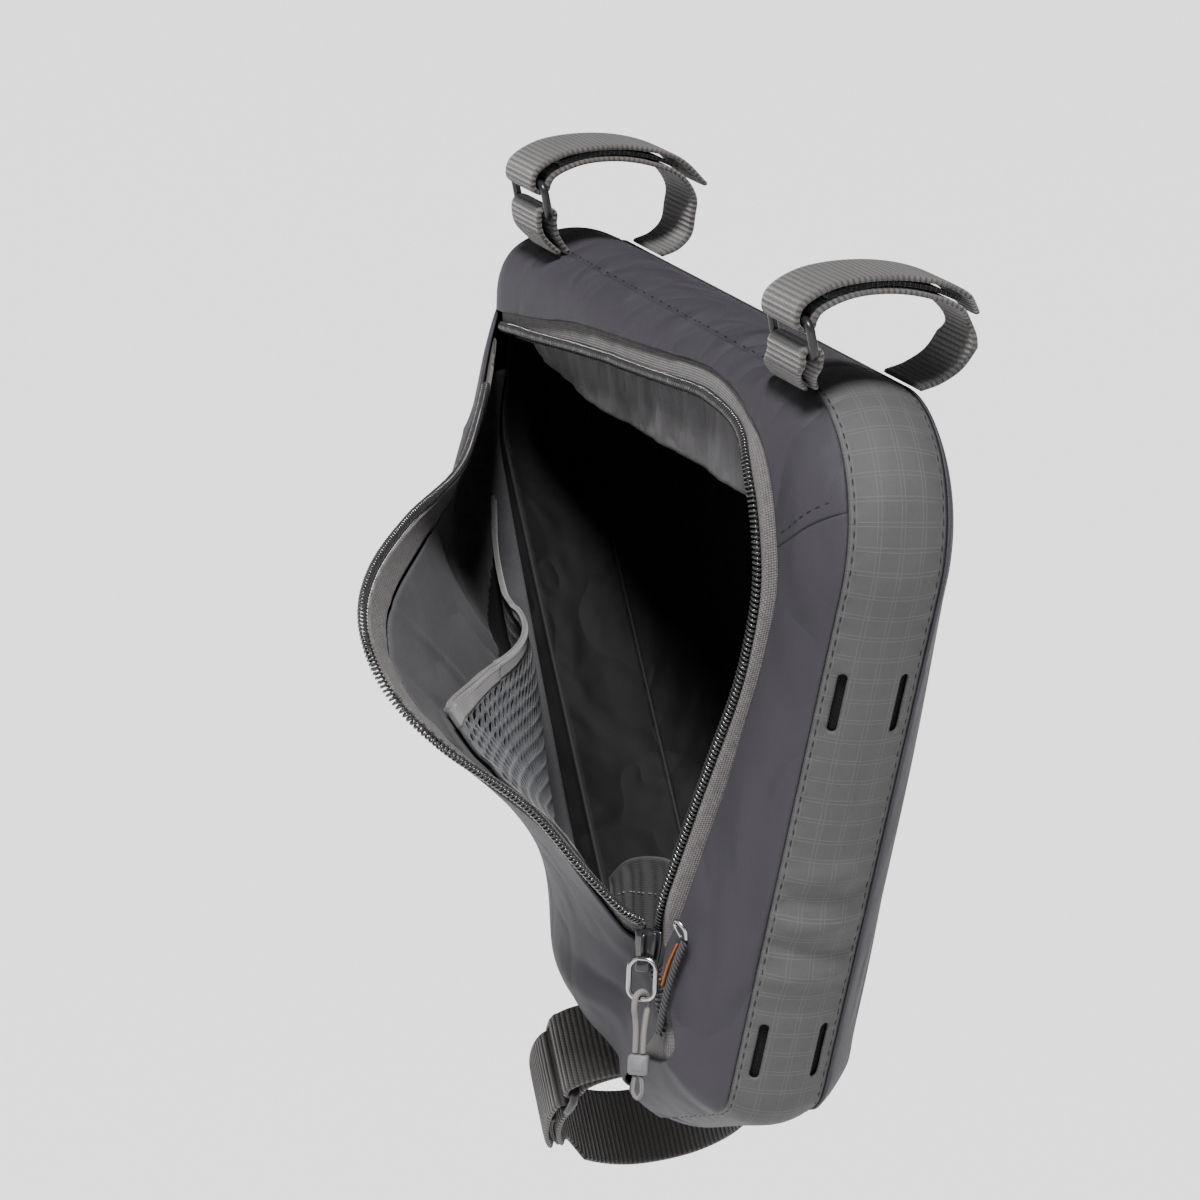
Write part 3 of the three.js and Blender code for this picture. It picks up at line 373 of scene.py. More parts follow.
hold_route = [(90, -31.6, -168), (86.4, -32.2, -176), (82.5, -32.6, -187), (78.6, -32.2, -199)]
hold_line = evened(centripetal(np.array(hold_route) * mm, 14), 0.5 * mm)
hold_cord = new_piece("twisted_pull", *tube_mesh(hold_line, 1.1 * mm, 16), ["hold_cord"], "dark")
paint(hold_cord, dark_twist)


# Gusset strip
# A strip 28.6 mm wide runs round the whole bag between its two sides: grey ripstop nylon at the rear, plain
# coated nylon along the tubes. It is cut as flat cloth and sewn in, so it domes out a little and puckers.
strap_spacing = 219 * mm
nose_overhang = 38 * mm
rear_overhang = 28.5 * mm
bag_depth = 236 * mm
strip_width = 28.6 * mm
strip_crown = 4 * mm
cloth_thick = 1.2 * mm
bag_length = nose_overhang + strap_spacing + rear_overhang
nose_x = -strap_spacing / 2 - nose_overhang
top_z = -strip_crown
half_strip = strip_width / 2
seam_side = half_strip + small_gap + cloth_thick / 2


def columns(names, rows):
    """A short table as named columns."""
    return dict(zip(names.split(), np.array(rows, float).T))


# Side view of the seam: corners as shares of the bag's length and depth, with their round radii
corners = columns("along down radius", [
    (0.0, 0.0, 0.085), (1.0, 0.0, 0.161), (1.0, 0.186, 0.17), (0.839, 0.911, 0.06), (0.65, 1.0, 0.068),
    (0.0, 0.28, 0.1)])


def bag_point(along, down):
    """A spot in the side view, from shares of the bag's length and depth."""
    return np.stack([nose_x + np.asarray(along) * bag_length, top_z - np.asarray(down) * bag_depth], -1)


corner_spots = bag_point(corners["along"], corners["down"])
rounds = []
for k, spot in enumerate(corner_spots):
    to_last = unit(corner_spots[k - 1] - spot)
    to_next = unit(corner_spots[(k + 1) % len(corner_spots)] - spot)
    half = math.acos(np.dot(to_last, to_next)) / 2
    radius = corners["radius"][k] * bag_depth
    centre = spot + unit(to_last + to_next) * radius / math.sin(half)
    start, end = (spot + way * radius / math.tan(half) for way in (to_last, to_next))
    rounds.append((start, end, centre, radius))

outline_line = [rounds[0][1]]
for start, end, centre, radius in rounds[1:] + rounds[:1]:
    turn_from = math.atan2(*(start - centre)[::-1])
    turn_to = math.atan2(*(end - centre)[::-1])
    turn_to -= 2 * math.pi * (turn_to > turn_from)
    for angle in np.linspace(turn_from, turn_to, 48):
        outline_line.append(centre + radius * np.array([math.cos(angle), math.sin(angle)]))
outline_line = np.array(outline_line)
outline_run = run_along(outline_line)
outline_length = outline_run[-1]
outline_steps = 1440
outline_spots = np.stack([np.interp(np.arange(outline_steps + 1) / outline_steps * outline_length, outline_run,
                                    outline_line[:, k]) for k in range(2)], 1)


def seam_point(share):
    """The seam's side view at a share of the way round."""
    run = (np.asarray(share) % 1) * outline_length
    return np.stack([np.interp(run, outline_run, outline_line[:, k]) for k in range(2)], -1)


def seam_outward(share):
    """The way out from the bag, square to the seam."""
    step = 0.7 / outline_steps
    tangent = unit(seam_point(share + step) - seam_point(share - step))
    return np.stack([-tangent[..., 1], tangent[..., 0]], -1)


def seam_mark(along, down):
    """The share of the way round that lies nearest to a spot in the side view."""
    return int(np.argmin(np.linalg.norm(outline_spots[:-1] - bag_point(along, down), axis=1))) / outline_steps


def ease(t):
    """A soft step from 0 to 1."""
    t = np.clip(t, 0, 1)
    return t * t * (3 - 2 * t)


def bell(t):
    """A soft bump round 0."""
    return np.exp(-np.square(t))


top_join = seam_mark(0.83, 0.0)
bottom_join = seam_mark(0.7, 0.99)
nose_join = seam_mark(0.0, 0.03)
nose_mark = seam_mark(0.0, 0.083)
bottom_mark = seam_mark(0.625, 0.98)
piece_gap = small_gap / outline_length
diagonal_from = seam_mark(0.6, 0.93)
diagonal_to = seam_mark(0.05, 0.36)

# Soft folds across the strip: how far down, how high, how wide and how slanted
strip_folds = columns("down high wide slant", [
    (0.1, 0.45, 7, 0.2), (0.27, -0.4, 9, -0.15), (0.5, 0.35, 8, 0.2), (0.575, 1.0, 3.4, 0.1),
    (0.61, -0.95, 3, 0.15), (0.645, 1.3, 3, 0.05), (0.682, -1.1, 2.8, -0.1), (0.715, 1.2, 3.2, 0.12),
    (0.76, -0.5, 4, 0.1), (0.92, 0.45, 5, -0.1)])
pucker_pitch = 7.3 * mm


def strip_point(share, y, inset=0.0):
    """A spot on the strip's middle surface, y across it."""
    seam = seam_point(share)
    t = share % 1
    on_tube = ease((t - diagonal_from) / 0.07) * ease((diagonal_to - t) / 0.07)
    dome = strip_crown * (1 - 0.7 * on_tube) * (1 - (y / half_strip) ** 2)
    inner = 1 - (y / half_strip) ** 4
    relief = np.zeros_like(y)
    for down, high, wide, slant in zip(*strip_folds.values()):
        off = (top_z - down * bag_depth - seam[..., 1] + slant * y) / (wide * mm)
        relief = relief + high * mm * bell(off) * inner * (t < bottom_join)
    pucker = 0.16 * mm * np.sin(2 * np.pi * share * outline_length / pucker_pitch + 2 * np.sin(40 * share))
    relief = relief + pucker * bell((np.abs(y) - half_strip + 2 * mm) / (1.6 * mm))
    seam = seam + seam_outward(share) * (dome + relief - cloth_thick / 2 - inset)[..., None]
    return np.stack([seam[..., 0], y, seam[..., 1]], -1)


def thickened(flat, normal, keep, cloth, thick):
    """A closed wall from middle points, their normals and faces, with every free edge rounded over."""
    keep = np.asarray(keep)
    edges = np.concatenate([keep[:, [k, (k + 1) % keep.shape[1]]] for k in range(keep.shape[1])])
    known = {tuple(e) for e in edges.tolist()}
    border = np.array(sorted(e for e in known if (e[1], e[0]) not in known))
    outward = np.zeros_like(flat)
    for a, b in border:
        side = np.cross(flat[b] - flat[a], normal[a])
        outward[a] += side
        outward[b] += side
    lip_of = np.unique(border)
    lip = {int(v): k for k, v in enumerate(lip_of)}
    total = len(flat)
    spots = np.vstack([flat + normal * thick / 2, flat - normal * thick / 2,
                       flat[lip_of] + unit(outward[lip_of]) * thick * 0.36])
    places = np.column_stack([np.asarray(cloth, float).reshape(-1, 2), np.ones(total)])
    under, rim = places.copy(), places[lip_of].copy()
    under[:, 2], rim[:, 2] = -1, 0
    faces = keep.tolist() + (keep[:, ::-1] + total).tolist()
    for a, b in border.tolist():
        la, lb = 2 * total + lip[a], 2 * total + lip[b]
        faces += [[b, a, la, lb], [lb, la, a + total, b + total]]
    used = np.zeros(len(spots), bool)
    used[np.unique(np.concatenate([np.array(f) for f in faces]))] = True
    renumber = np.cumsum(used) - 1
    faces = [[int(renumber[k]) for k in f] for f in faces]
    return spots[used], faces, np.vstack([places, under, rim])[used]


def cloth_wall(middle, cloth, thick, open_cells=None, loop=False):
    """A closed cloth wall from rows and columns of middle points. open_cells leaves cells out."""
    rows, cols = middle.shape[:2]
    if loop:
        along = np.roll(middle, -1, 0) - np.roll(middle, 1, 0)
    else:
        along = np.gradient(middle, axis=0)
    normal = unit(np.cross(along, np.gradient(middle, axis=1))).reshape(-1, 3)
    i, j = np.meshgrid(np.arange(rows if loop else rows - 1), np.arange(cols - 1), indexing="ij")
    after = (i + 1) % rows
    cells = np.stack([i * cols + j, after * cols + j, after * cols + j + 1, i * cols + j + 1], -1)
    keep = cells.reshape(-1, 4) if open_cells is None else cells[~open_cells]
    return thickened(middle.reshape(-1, 3), normal, keep, cloth, thick)


slit_length = 19 * mm
slit_width = 3.3 * mm
slit_spread = 18.4 * mm
slit_rows = [("upper", seam_mark(0.967, 0.35)), ("lower", seam_mark(0.857, 0.822))]


def from_slit(share, y, mark, side):
    """Offsets from a slit's middle line, how far off it a spot is, and the distance to its outline."""
    straight = (slit_length - slit_width) / 2
    reach = (share - mark) * outline_length
    out = np.stack([np.sign(reach) * np.maximum(np.abs(reach) - straight, 0), y - side * slit_spread / 2], -1)
    far = np.linalg.norm(out, axis=-1)
    return out, far, far - slit_width / 2


def strip_wall(start, stop, pitch, slits=False):
    """A length of the strip as a fine wall, with its slits cut where it has them."""
    shares = np.linspace(start + piece_gap / 2, stop - piece_gap / 2,
                         int((stop - start) * outline_length / pitch))
    y = np.linspace(-half_strip, half_strip, int(strip_width / pitch) + 1)
    share, y = np.meshgrid(shares, y, indexing="ij")
    open_cells = np.zeros((share.shape[0] - 1, share.shape[1] - 1), bool)
    if slits:
        for _, mark in slit_rows:
            for side in (-1, 1):
                middle = [(m[1:, 1:] + m[:-1, :-1]) / 2 for m in (share, y)]
                inside = from_slit(*middle, mark, side)[2] < 0
                open_cells |= inside
                touch = np.zeros(share.shape, int)
                for di, dj in ((0, 0), (0, 1), (1, 0), (1, 1)):
                    touch[di:di + inside.shape[0], dj:dj + inside.shape[1]] += inside
                edge = (touch > 0) & (touch < 4)
                out, far, past = from_slit(share, y, mark, side)
                shift = -out / np.maximum(far, 1e-9)[..., None] * past[..., None] * edge[..., None]
                share = share + shift[..., 0] / outline_length
                y = y + shift[..., 1]
    cloth = np.stack([y, share * outline_length], -1)
    return cloth_wall(strip_point(share, y), cloth, cloth_thick, open_cells)


ripstop, given, gives = effect("ripstop", [("Pitch", "Float"), ("Apart", "Float"), ("Wide", "Float")],
                               [("Line", "Float")])
flat = cloth_place(ripstop)
lines = []
for k in range(2):
    away = sums(ripstop, "PINGPONG", flat[k], sums(ripstop, "MULTIPLY", given["Pitch"], 0.5))
    half_apart = sums(ripstop, "MULTIPLY", given["Apart"], 0.5)
    off = sums(ripstop, "ABSOLUTE", sums(ripstop, "SUBTRACT", away, half_apart))
    lines.append(add_node(ripstop, "ShaderNodeMapRange", {
        "Value": off, "From Min": 0.0, "From Max": given["Wide"], "To Min": 1.0, "To Max": 0.0},
        interpolation_type="SMOOTHSTEP").outputs[0])
ripstop.links.new(sums(ripstop, "MAXIMUM", *lines), gives["Line"])


def ripstop_relief(tree):
    """Fine weave with thicker threads in a square grid."""
    line = use(tree, ripstop, Pitch=6.5 * mm, Apart=1.1 * mm, Wide=0.26 * mm)["Line"]
    threads = use(tree, weave, Across=0.34 * mm, Along=0.34 * mm)["Height"]
    return sums(tree, "MULTIPLY_ADD", line, 0.6, sums(tree, "MULTIPLY", threads, 0.4))


# Painted shade: the inside faces of the ripstop and the charcoal nylon keep 2 % of their colour, so the bag's
# inside is near black under any light.
grey_ripstop = finish_of("grey_ripstop", (0.076, 0.076, 0.077), 0.66, (0.05, 0.4), ripstop_relief, 0.1 * mm,
                         0.4, inner=0.02, creased=3.5 * mm)
charcoal = finish_of("charcoal_nylon", (0.031, 0.0282, 0.0352), 0.6, (0.04, 0.35),
                     woven(0.36 * mm, 0.36 * mm), 0.06 * mm,
                     0.2, inner=0.02, creased=12 * mm, crease_size=30 * mm)
rear_strip = new_piece("ripstop_strip", *strip_wall(top_join, bottom_join, 0.68 * mm, True), ["gusset_rear"],
                       "ripstop")
paint(rear_strip, grey_ripstop)
front_strip = new_piece("front_strip", *strip_wall(bottom_join, nose_join, 1.2 * mm), ["gusset_front"], "shell")
top_strip = new_piece("top_strip", *strip_wall(nose_join, top_join + 1, 1.2 * mm), ["gusset_top"], "shell")
paint(front_strip, charcoal)
paint(top_strip, charcoal)

# Dark cloth behind the slits
# A dark knit, held a little under the strip, shows in the four slits that take a pump strap or a light clip.
# Its near-black colour is partly the knit's own and partly painted shade, standing for the deep shade in the
# slits.
# Painted shade: the knit's colour is set near black for the shade inside the slits.
knit = finish_of("dark_knit_and_slit_shade", (0.004, 0.004, 0.0045), 0.95, (0.01, 0.5),
                 woven(0.9 * mm, 0.7 * mm), 0.25 * mm, 0.5)
backing_reach = 15 * mm
backing_half = 12.6 * mm
backing_inset = cloth_thick + 0.4 * mm
for name, mark in slit_rows:
    share, y = np.meshgrid(mark + np.linspace(-1, 1, 31) * backing_reach / outline_length,
                           np.linspace(backing_half, -backing_half, 27), indexing="ij")
    backing = new_piece(f"knit_behind_{name}", *cloth_wall(
        strip_point(share, y, backing_inset), np.stack([y, share * outline_length], -1), 1 * mm),
        [f"slit_backing_{name}"], "dark")
    paint(backing, knit)

# Right side
# One panel of coated nylon, closed, sewn to the strip all the way round. It bulges past its seam and hangs in
# broad soft folds that run down the panel.
bulge_top, bulge_low = 10 * mm, 19 * mm
shoulder, flank, right_turn = 5 * mm, 12 * mm, 15 * mm


def to_seam(x, z):
    """Distance of spots in the side view to the seam, from its straight and round stretches."""
    spot = np.stack([x, z], -1)
    near = np.full(np.shape(x), 1e9)
    for k, (start, end, centre, radius) in enumerate(rounds):
        here = spot - end
        ahead = rounds[(k + 1) % len(rounds)][0] - end
        t = np.clip(here @ ahead / (ahead @ ahead), 0, 1)
        near = np.minimum(near, np.linalg.norm(here - t[..., None] * ahead, axis=-1))
        out = spot - centre
        middle = unit((start + end) / 2 - centre)
        covered = out @ middle > np.linalg.norm(out, axis=-1) * (unit(start - centre) @ middle)
        near = np.where(covered, np.minimum(near, np.abs(np.linalg.norm(out, axis=-1) - radius)), near)
    return near


# Folds of the sides: a spot, the fold's direction and half length, how wide it is and how high
side_folds = columns("along down toward_along toward_down wide high", [
    (0.93, 0.33, 0.9, 0.62, 5.0, 0.9), (0.875, 0.45, 0.84, 0.78, 4.5, -0.8), (0.9, 0.6, 0.865, 0.86, 4.0, 0.7),
    (0.845, 0.7, 0.82, 0.9, 3.5, -0.6), (0.3, 0.02, 0.36, 0.08, 4.0, 0.5), (0.44, 0.01, 0.4, 0.09, 4.0, -0.6),
    (0.56, 0.0, 0.62, 0.08, 3.5, 0.55), (0.7, 0.0, 0.66, 0.075, 4.0, -0.6), (0.8, 0.02, 0.86, 0.12, 5.0, 0.7),
    (0.18, 0.02, 0.15, 0.1, 4.5, 0.5), (0.9, 0.05, 0.96, 0.2, 5.0, -0.6), (0.75, 0.9, 0.83, 0.84, 4.0, 0.6),
    (0.5, 0.25, 0.62, 0.75, 16.0, 0.9), (0.3, 0.2, 0.5, 0.5, 14.0, -0.9), (0.7, 0.2, 0.74, 0.6, 13.0, -0.8)])


def fold_relief(x, z, folds):
    """Height of a table of folds at spots in the side view."""
    relief = np.zeros(np.shape(x))
    spot = np.stack([x, z], -1)
    for along, down, to_along, to_down, wide, high in zip(*folds.values()):
        a, b = bag_point(along, down), bag_point(to_along, to_down)
        way = unit(b - a)
        off = spot - (a + b) / 2
        long = np.linalg.norm(b - a) * 0.75
        sideways = off @ np.array([-way[1], way[0]])
        relief = relief + high * mm * bell(sideways / (wide * mm)) * bell(off @ way / long)
    return relief


def side_out(x, z, turn_top=shoulder, turn_low=flank, folds=side_folds):
    """How far a side stands out from the centre plane at a spot in the side view."""
    down = (top_z - z) / bag_depth
    bulge = bulge_top + (bulge_low - bulge_top) * ease(down / 0.8)
    turn = turn_top + (turn_low - turn_top) * ease(down / 0.25)
    inside = to_seam(x, z)
    quiet = 1 - np.exp(-inside / (9 * mm))
    return seam_side + bulge * (1 - np.exp(-inside / turn)) + quiet * fold_relief(x, z, folds)


def laid_flat(middle):
    """Cloth places of a grid of points: how far along its rows and its columns each point lies."""
    down = np.linalg.norm(np.diff(middle, axis=0), axis=-1)
    over = np.linalg.norm(np.diff(middle, axis=1), axis=-1)
    zero_row, zero_col = np.zeros((1, middle.shape[1])), np.zeros((middle.shape[0], 1))
    return np.stack([np.hstack([zero_col, np.cumsum(over, 1)]),
                     np.vstack([zero_row, np.cumsum(down, 0)]).mean(1)[:, None] + 0 * middle[..., 0]], -1)


panel_centre = bag_point(0.55, 0.4)
shares = np.linspace(0, 1, 430, endpoint=False)
rings = np.concatenate([np.linspace(0, 0.12, 12)[:-1], np.linspace(0.12, 1, 46)])
spot = seam_point(shares)[:, None] * (1 - rings)[None, :, None] + panel_centre * rings[None, :, None]
panel = np.stack([spot[..., 0], side_out(spot[..., 0], spot[..., 1], right_turn, right_turn), spot[..., 1]], -1)
right_side = new_piece("right_side", *cloth_wall(panel, spot, cloth_thick, loop=True), ["right_panel"], "shell")
paint(right_side, charcoal)

# Left border
# Two pieces of the same nylon frame the zip on the left side and meet at a short cross seam. Their inner edge
# is folded under and topstitched to the zip tape.
side_table = columns("seam_along seam_down along down facing", [
    (0.005, 0.074, 0.058, 0.123, 0.015), (0.023, 0.023, 0.124, 0.114, 0.02), (0.114, 0, 0.201, 0.106, 0.045),
    (0.352, 0, 0.352, 0.087, 0.076), (0.517, 0, 0.517, 0.072, 0.087), (0.678, 0, 0.678, 0.059, 0.1),
    (0.839, 0, 0.797, 0.076, 0.085), (0.933, 0.021, 0.867, 0.127, 0.05), (0.998, 0.144, 0.9, 0.22, 0.03),
    (0.986, 0.246, 0.891, 0.331, 0.03), (0.951, 0.394, 0.856, 0.449, 0.03), (0.916, 0.538, 0.818, 0.568, 0.03),
    (0.888, 0.669, 0.786, 0.661, 0.03), (0.863, 0.788, 0.76, 0.725, 0.03), (0.839, 0.89, 0.784, 0.826, 0.03),
    (0.734, 0.962, 0.726, 0.884, 0.03), (0.66, 0.985, 0.67, 0.946, 0.03), (0.632, 0.983, 0.641, 0.973, 0.03)])
cross_seam_place = 7.8
slider_place = 13
zip_end_place = 14
side_table["mark"] = np.array([seam_mark(a, d)
                               for a, d in zip(side_table["seam_along"], side_table["seam_down"])])
side_table["mark"] -= side_table["mark"] > 0.8
zip_tape_width = 8 * mm
tape_tuck = 1.6 * mm
tape_thick = 1 * mm
coil_radius = 1.1 * mm
tape_under = (cloth_thick + tape_thick) / 2 + small_gap + 0.5 * mm


def table_at(table, key, place):
    """A column at places between its rows, on a smooth curve through them."""
    column = table[key]
    last = len(column) - 1
    place = np.asarray(place, float)
    k = np.clip(np.floor(place).astype(int), 0, last - 1)
    t = place - k
    a, b, c, d = (column[np.clip(k + m, 0, last)] for m in (-1, 0, 1, 2))
    return ((2 * t ** 3 - 3 * t ** 2 + 1) * b + (t ** 3 - 2 * t ** 2 + t) * (c - a) / 2
            + (3 * t ** 2 - 2 * t ** 3) * c + (t ** 3 - t ** 2) * (d - b) / 2)


def teeth_spot(place):
    """The zip's fixed line of teeth in the side view."""
    return bag_point(table_at(side_table, "along", place), table_at(side_table, "down", place))


def beside_teeth(place, distance, under):
    """A spot beside the fixed teeth, a distance towards the seam and a depth under the cloth."""
    teeth = teeth_spot(place)
    seam = seam_point(table_at(side_table, "mark", place))
    spot = teeth + unit(seam - teeth) * np.asarray(distance)[..., None]
    return np.stack([spot[..., 0], under - side_out(spot[..., 0], spot[..., 1]), spot[..., 1]], -1)


def left_border(start, stop, pitch_steps):
    """The border's middle surface from the seam to the folded edge beside the zip."""
    places = np.linspace(start, stop, pitch_steps)
    width = zip_tape_width + (1.2 * mm - zip_tape_width) * ease(places - zip_end_place)
    edge = beside_teeth(places, width, 0)[:, [0, 2]]
    seam = seam_point(table_at(side_table, "mark", places))
    v = np.concatenate([np.linspace(0, 0.16, 9)[:-1], np.linspace(0.16, 1, 26)])
    spot = seam[:, None] * (1 - v)[None, :, None] + edge[:, None] * v[None, :, None]
    return np.stack([spot[..., 0], -side_out(spot[..., 0], spot[..., 1]), spot[..., 1]], -1)[:, ::-1]


border_top = left_border(0, cross_seam_place - 0.005, 300)
border_rear = left_border(cross_seam_place + 0.005, len(side_table["along"]) - 1, 340)
for name, border, node in (("border_over_zip", border_top, "left_border_top"),
                           ("border_behind_zip", border_rear, "left_border_rear")):
    paint(new_piece(name, *cloth_wall(border, laid_flat(border), cloth_thick), [node], "shell"), charcoal)

# Left flap and its lining
# The opened side is one large piece of nylon sewn along the nose and the down tube. Its zip edge is pulled out,
# so it bellies out at the seam and falls back in a valley. A paler plain-weave lining covers its inner face.
flap_reach = 122 * mm
flap_table = columns("seam along out down belly rise valley", [
    (0.0, 0.049, 0.213, 0.136, 0.066, 0.1, 0.197), (0.03, 0.103, 0.254, 0.153, 0.09, 0.11, 0.215),
    (0.17, 0.268, 0.418, 0.208, 0.14, 0.155, 0.28), (0.32, 0.387, 0.557, 0.237, 0.22, 0.2, 0.42),
    (0.46, 0.513, 0.77, 0.263, 0.24, 0.25, 0.39), (0.57, 0.618, 0.934, 0.301, 0.25, 0.279, 0.2),
    (0.66, 0.688, 1.0, 0.347, 0.27, 0.279, 0.165), (0.73, 0.744, 0.975, 0.407, 0.29, 0.287, 0.172),
    (0.8, 0.776, 0.861, 0.466, 0.34, 0.295, 0.189), (0.86, 0.779, 0.639, 0.542, 0.4, 0.311, 0.205),
    (0.9, 0.776, 0.492, 0.619, 0.38, 0.336, 0.221), (0.93, 0.769, 0.369, 0.678, 0.31, 0.352, 0.238),
    (0.96, 0.76, 0.262, 0.72, 0.2, 0.369, 0.254), (1.0, 0.784, 0.221, 0.822, 0.098, 0.369, 0.221)])
belly_inward = 9 * mm
flap_last = 13
flap_slider = 12
least_slant = 0.55

# Folds of the flap: from one place and share of its width to another, how wide and how high
flap_folds = columns("place share to_place to_share wide high", [
    (6.2, 0.97, 7.6, 0.55, 0.05, 1.1), (5.4, 0.93, 6.4, 0.5, 0.045, -0.9), (7.4, 0.96, 8.3, 0.7, 0.04, -0.8),
    (3.4, 0.9, 4.6, 0.35, 0.05, 0.8), (9.2, 0.3, 12.4, 0.5, 0.045, 1.0), (9.6, 0.42, 12.6, 0.66, 0.035, -1.0),
    (8.4, 0.18, 12.2, 0.32, 0.04, -0.7), (6.0, 0.1, 9.5, 0.2, 0.05, 0.7), (2.0, 0.6, 3.0, 0.2, 0.06, -0.7),
    (10.4, 0.75, 12.8, 0.85, 0.04, 0.6)])
ruling_samples = 80


def bezier(a, b, c, d, t):
    """Points of a cubic curve with two control points."""
    t = t[None, :, None]
    a, b, c, d = (p[:, None] for p in (a, b, c, d))
    return a * (1 - t) ** 3 + 3 * b * t * (1 - t) ** 2 + 3 * c * t ** 2 * (1 - t) + d * t ** 3


def rulings(places):
    """The flap's lines from the sewn edge to the teeth, as sampled points for each place."""
    at = {key: table_at(flap_table, key, places) for key in flap_table}
    share = nose_mark + (bottom_mark - nose_mark) * at["seam"]
    seam, inward = seam_point(share), -seam_outward(share)

    def inside(distance, y):
        spot = seam + inward * np.asarray(distance)[..., None]
        return np.stack([spot[:, 0], y + 0 * places, spot[:, 1]], -1)

    edge = bag_point(at["along"], at["down"])
    start = inside(0 * places, -seam_side)
    end = np.stack([edge[:, 0], -at["out"] * flap_reach, edge[:, 1]], -1)
    t = np.linspace(0, 1, ruling_samples)
    bent = bezier(start, inside(belly_inward + 0 * places, -seam_side - at["belly"] * flap_reach),
                  inside(at["rise"] * flap_reach, -at["valley"] * flap_reach), end, t)
    flat = start[:, None] + (end - start)[:, None] * t[None, :, None]
    closed_y = -side_out(flat[..., 0], flat[..., 2], folds=columns("a b c d e f", np.zeros((0, 6))))
    flat[..., 1] = closed_y + (flat[..., 1] - closed_y) * t[None] ** 3
    opened = (ease(places / 1.4) * ease(flap_last - places))[:, None, None]
    return flat + (bent - flat) * opened


def flap_rows(places, distances, lift=0.0):
    """Spots on the flap: for each place, distances(long, slant) along its ruling, lifted to the inside."""
    places = np.asarray(places, float)
    step = np.where(places + 0.02 > flap_last, -0.02, 0.02)
    here, beside = rulings(places), rulings(places + step)
    runs = [np.concatenate([np.zeros((len(places), 1)), np.cumsum(np.linalg.norm(
        np.diff(line, axis=1), axis=-1), 1)], 1) for line in (here, beside)]
    long = runs[0][:, -1]
    last_way = unit(here[:, -1] - here[:, -2])
    slant = np.maximum(least_slant, np.sqrt(1 - np.sum(unit(beside[:, -1] - here[:, -1]) * last_way, 1) ** 2))
    reach = distances(long[:, None], slant[:, None])
    part = np.clip(reach / long[:, None], 0, 1)

    def on(line, run, part):
        return np.stack([np.stack([np.interp(p * r[-1], r, l[:, k]) for k in range(3)], -1)
                         for p, r, l in zip(part, run, line)])

    spot = on(here, runs[0], part)
    ahead = on(here, runs[0], np.minimum(part + 0.01, 1)) - on(here, runs[0], np.maximum(part - 0.01, 0))
    along = (on(beside, runs[1], part) - spot) * np.sign(step)[:, None, None]
    normal = unit(np.cross(along, ahead))
    relief = np.zeros(part.shape)
    for a, share, b, to_share, wide, high in zip(*flap_folds.values()):
        t = (places[:, None] - a) / (b - a)
        off = (part - (share + (to_share - share) * t)) / wide
        relief = relief + high * mm * bell(off) * bell((t - 0.5) / 0.45)
    relief = relief * ease((1 - part) / 0.05) * ease(part / 0.08)
    return spot + normal * (relief - lift)[..., None]


inner_lift = (cloth_thick + tape_thick) / 2 + small_gap + 0.1 * mm
tape_outer = zip_tape_width + tape_tuck
lining_margin = 2 * mm
lining_thick = 1 * mm
flap_places = np.linspace(0, flap_last, 250)
flap_share = np.linspace(0, 1, 80)
flap_middle = flap_rows(flap_places, lambda long, slant: flap_share * (
    long - (zip_tape_width - 1 * mm) / slant))
flap = new_piece("opened_flap", *cloth_wall(flap_middle, laid_flat(flap_middle), cloth_thick), ["left_flap"],
                 "shell")
paint(flap, charcoal)

plain_lining = finish_of("plain_weave_lining", (0.06, 0.058, 0.064), 0.78, (0.03, 0.5),
                         woven(0.62 * mm, 0.62 * mm), 0.16 * mm, 0.5,
                         sheen=0.05, creased=14 * mm, crease_size=40 * mm)
# Painted shade: a copy of the lining cloth ten times darker, for its faces under the net.
painted_shade_lining = finish_of("lining_painted_shade_under_net", (0.006, 0.006, 0.0065), 0.85, (0.03, 0.5),
                        woven(0.62 * mm, 0.62 * mm), 0.16 * mm, 0.5)
lining_share = np.linspace(0.06, 1, 80)
lining_places = np.linspace(1.5, 11.5, 230)
lining_middle = flap_rows(lining_places, lambda long, slant: lining_share * (
    long - (tape_outer + lining_margin) / slant), inner_lift)
lining = new_piece("flap_lining_cloth", *cloth_wall(lining_middle, laid_flat(lining_middle), lining_thick),
                   ["flap_lining"], "lining")
paint(lining, plain_lining)

# Painted shade: the lining's faces under the net get a far darker copy of the lining cloth, standing for the net's
# shade.
mouth_outer, mouth_inner, foot_outer, foot_inner = (7.15, 0.8), (2.8, 0.15), (11.4, 0.84), (11.4, 0.38)
lining.data.materials.append(painted_shade_lining)
place_now, share_now = np.meshgrid((lining_places[1:] + lining_places[:-1]) / 2,
                                   (lining_share[1:] + lining_share[:-1]) / 2 * 0.92, indexing="ij")
mouth_place = mouth_inner[0] + (mouth_outer[0] - mouth_inner[0]) * (share_now - mouth_inner[1]) / (
    mouth_outer[1] - mouth_inner[1])
down = (place_now - mouth_place) / (foot_outer[0] - mouth_place)
covered = (down > 0.02) & (share_now < 0.8 + 0.04 * down) & (share_now > 0.15 + 0.2 * down)
shaded = np.concatenate([covered.ravel(), covered.ravel()]).astype(int)
for face, number in zip(lining.data.polygons, shaded):
    face.material_index = int(number)

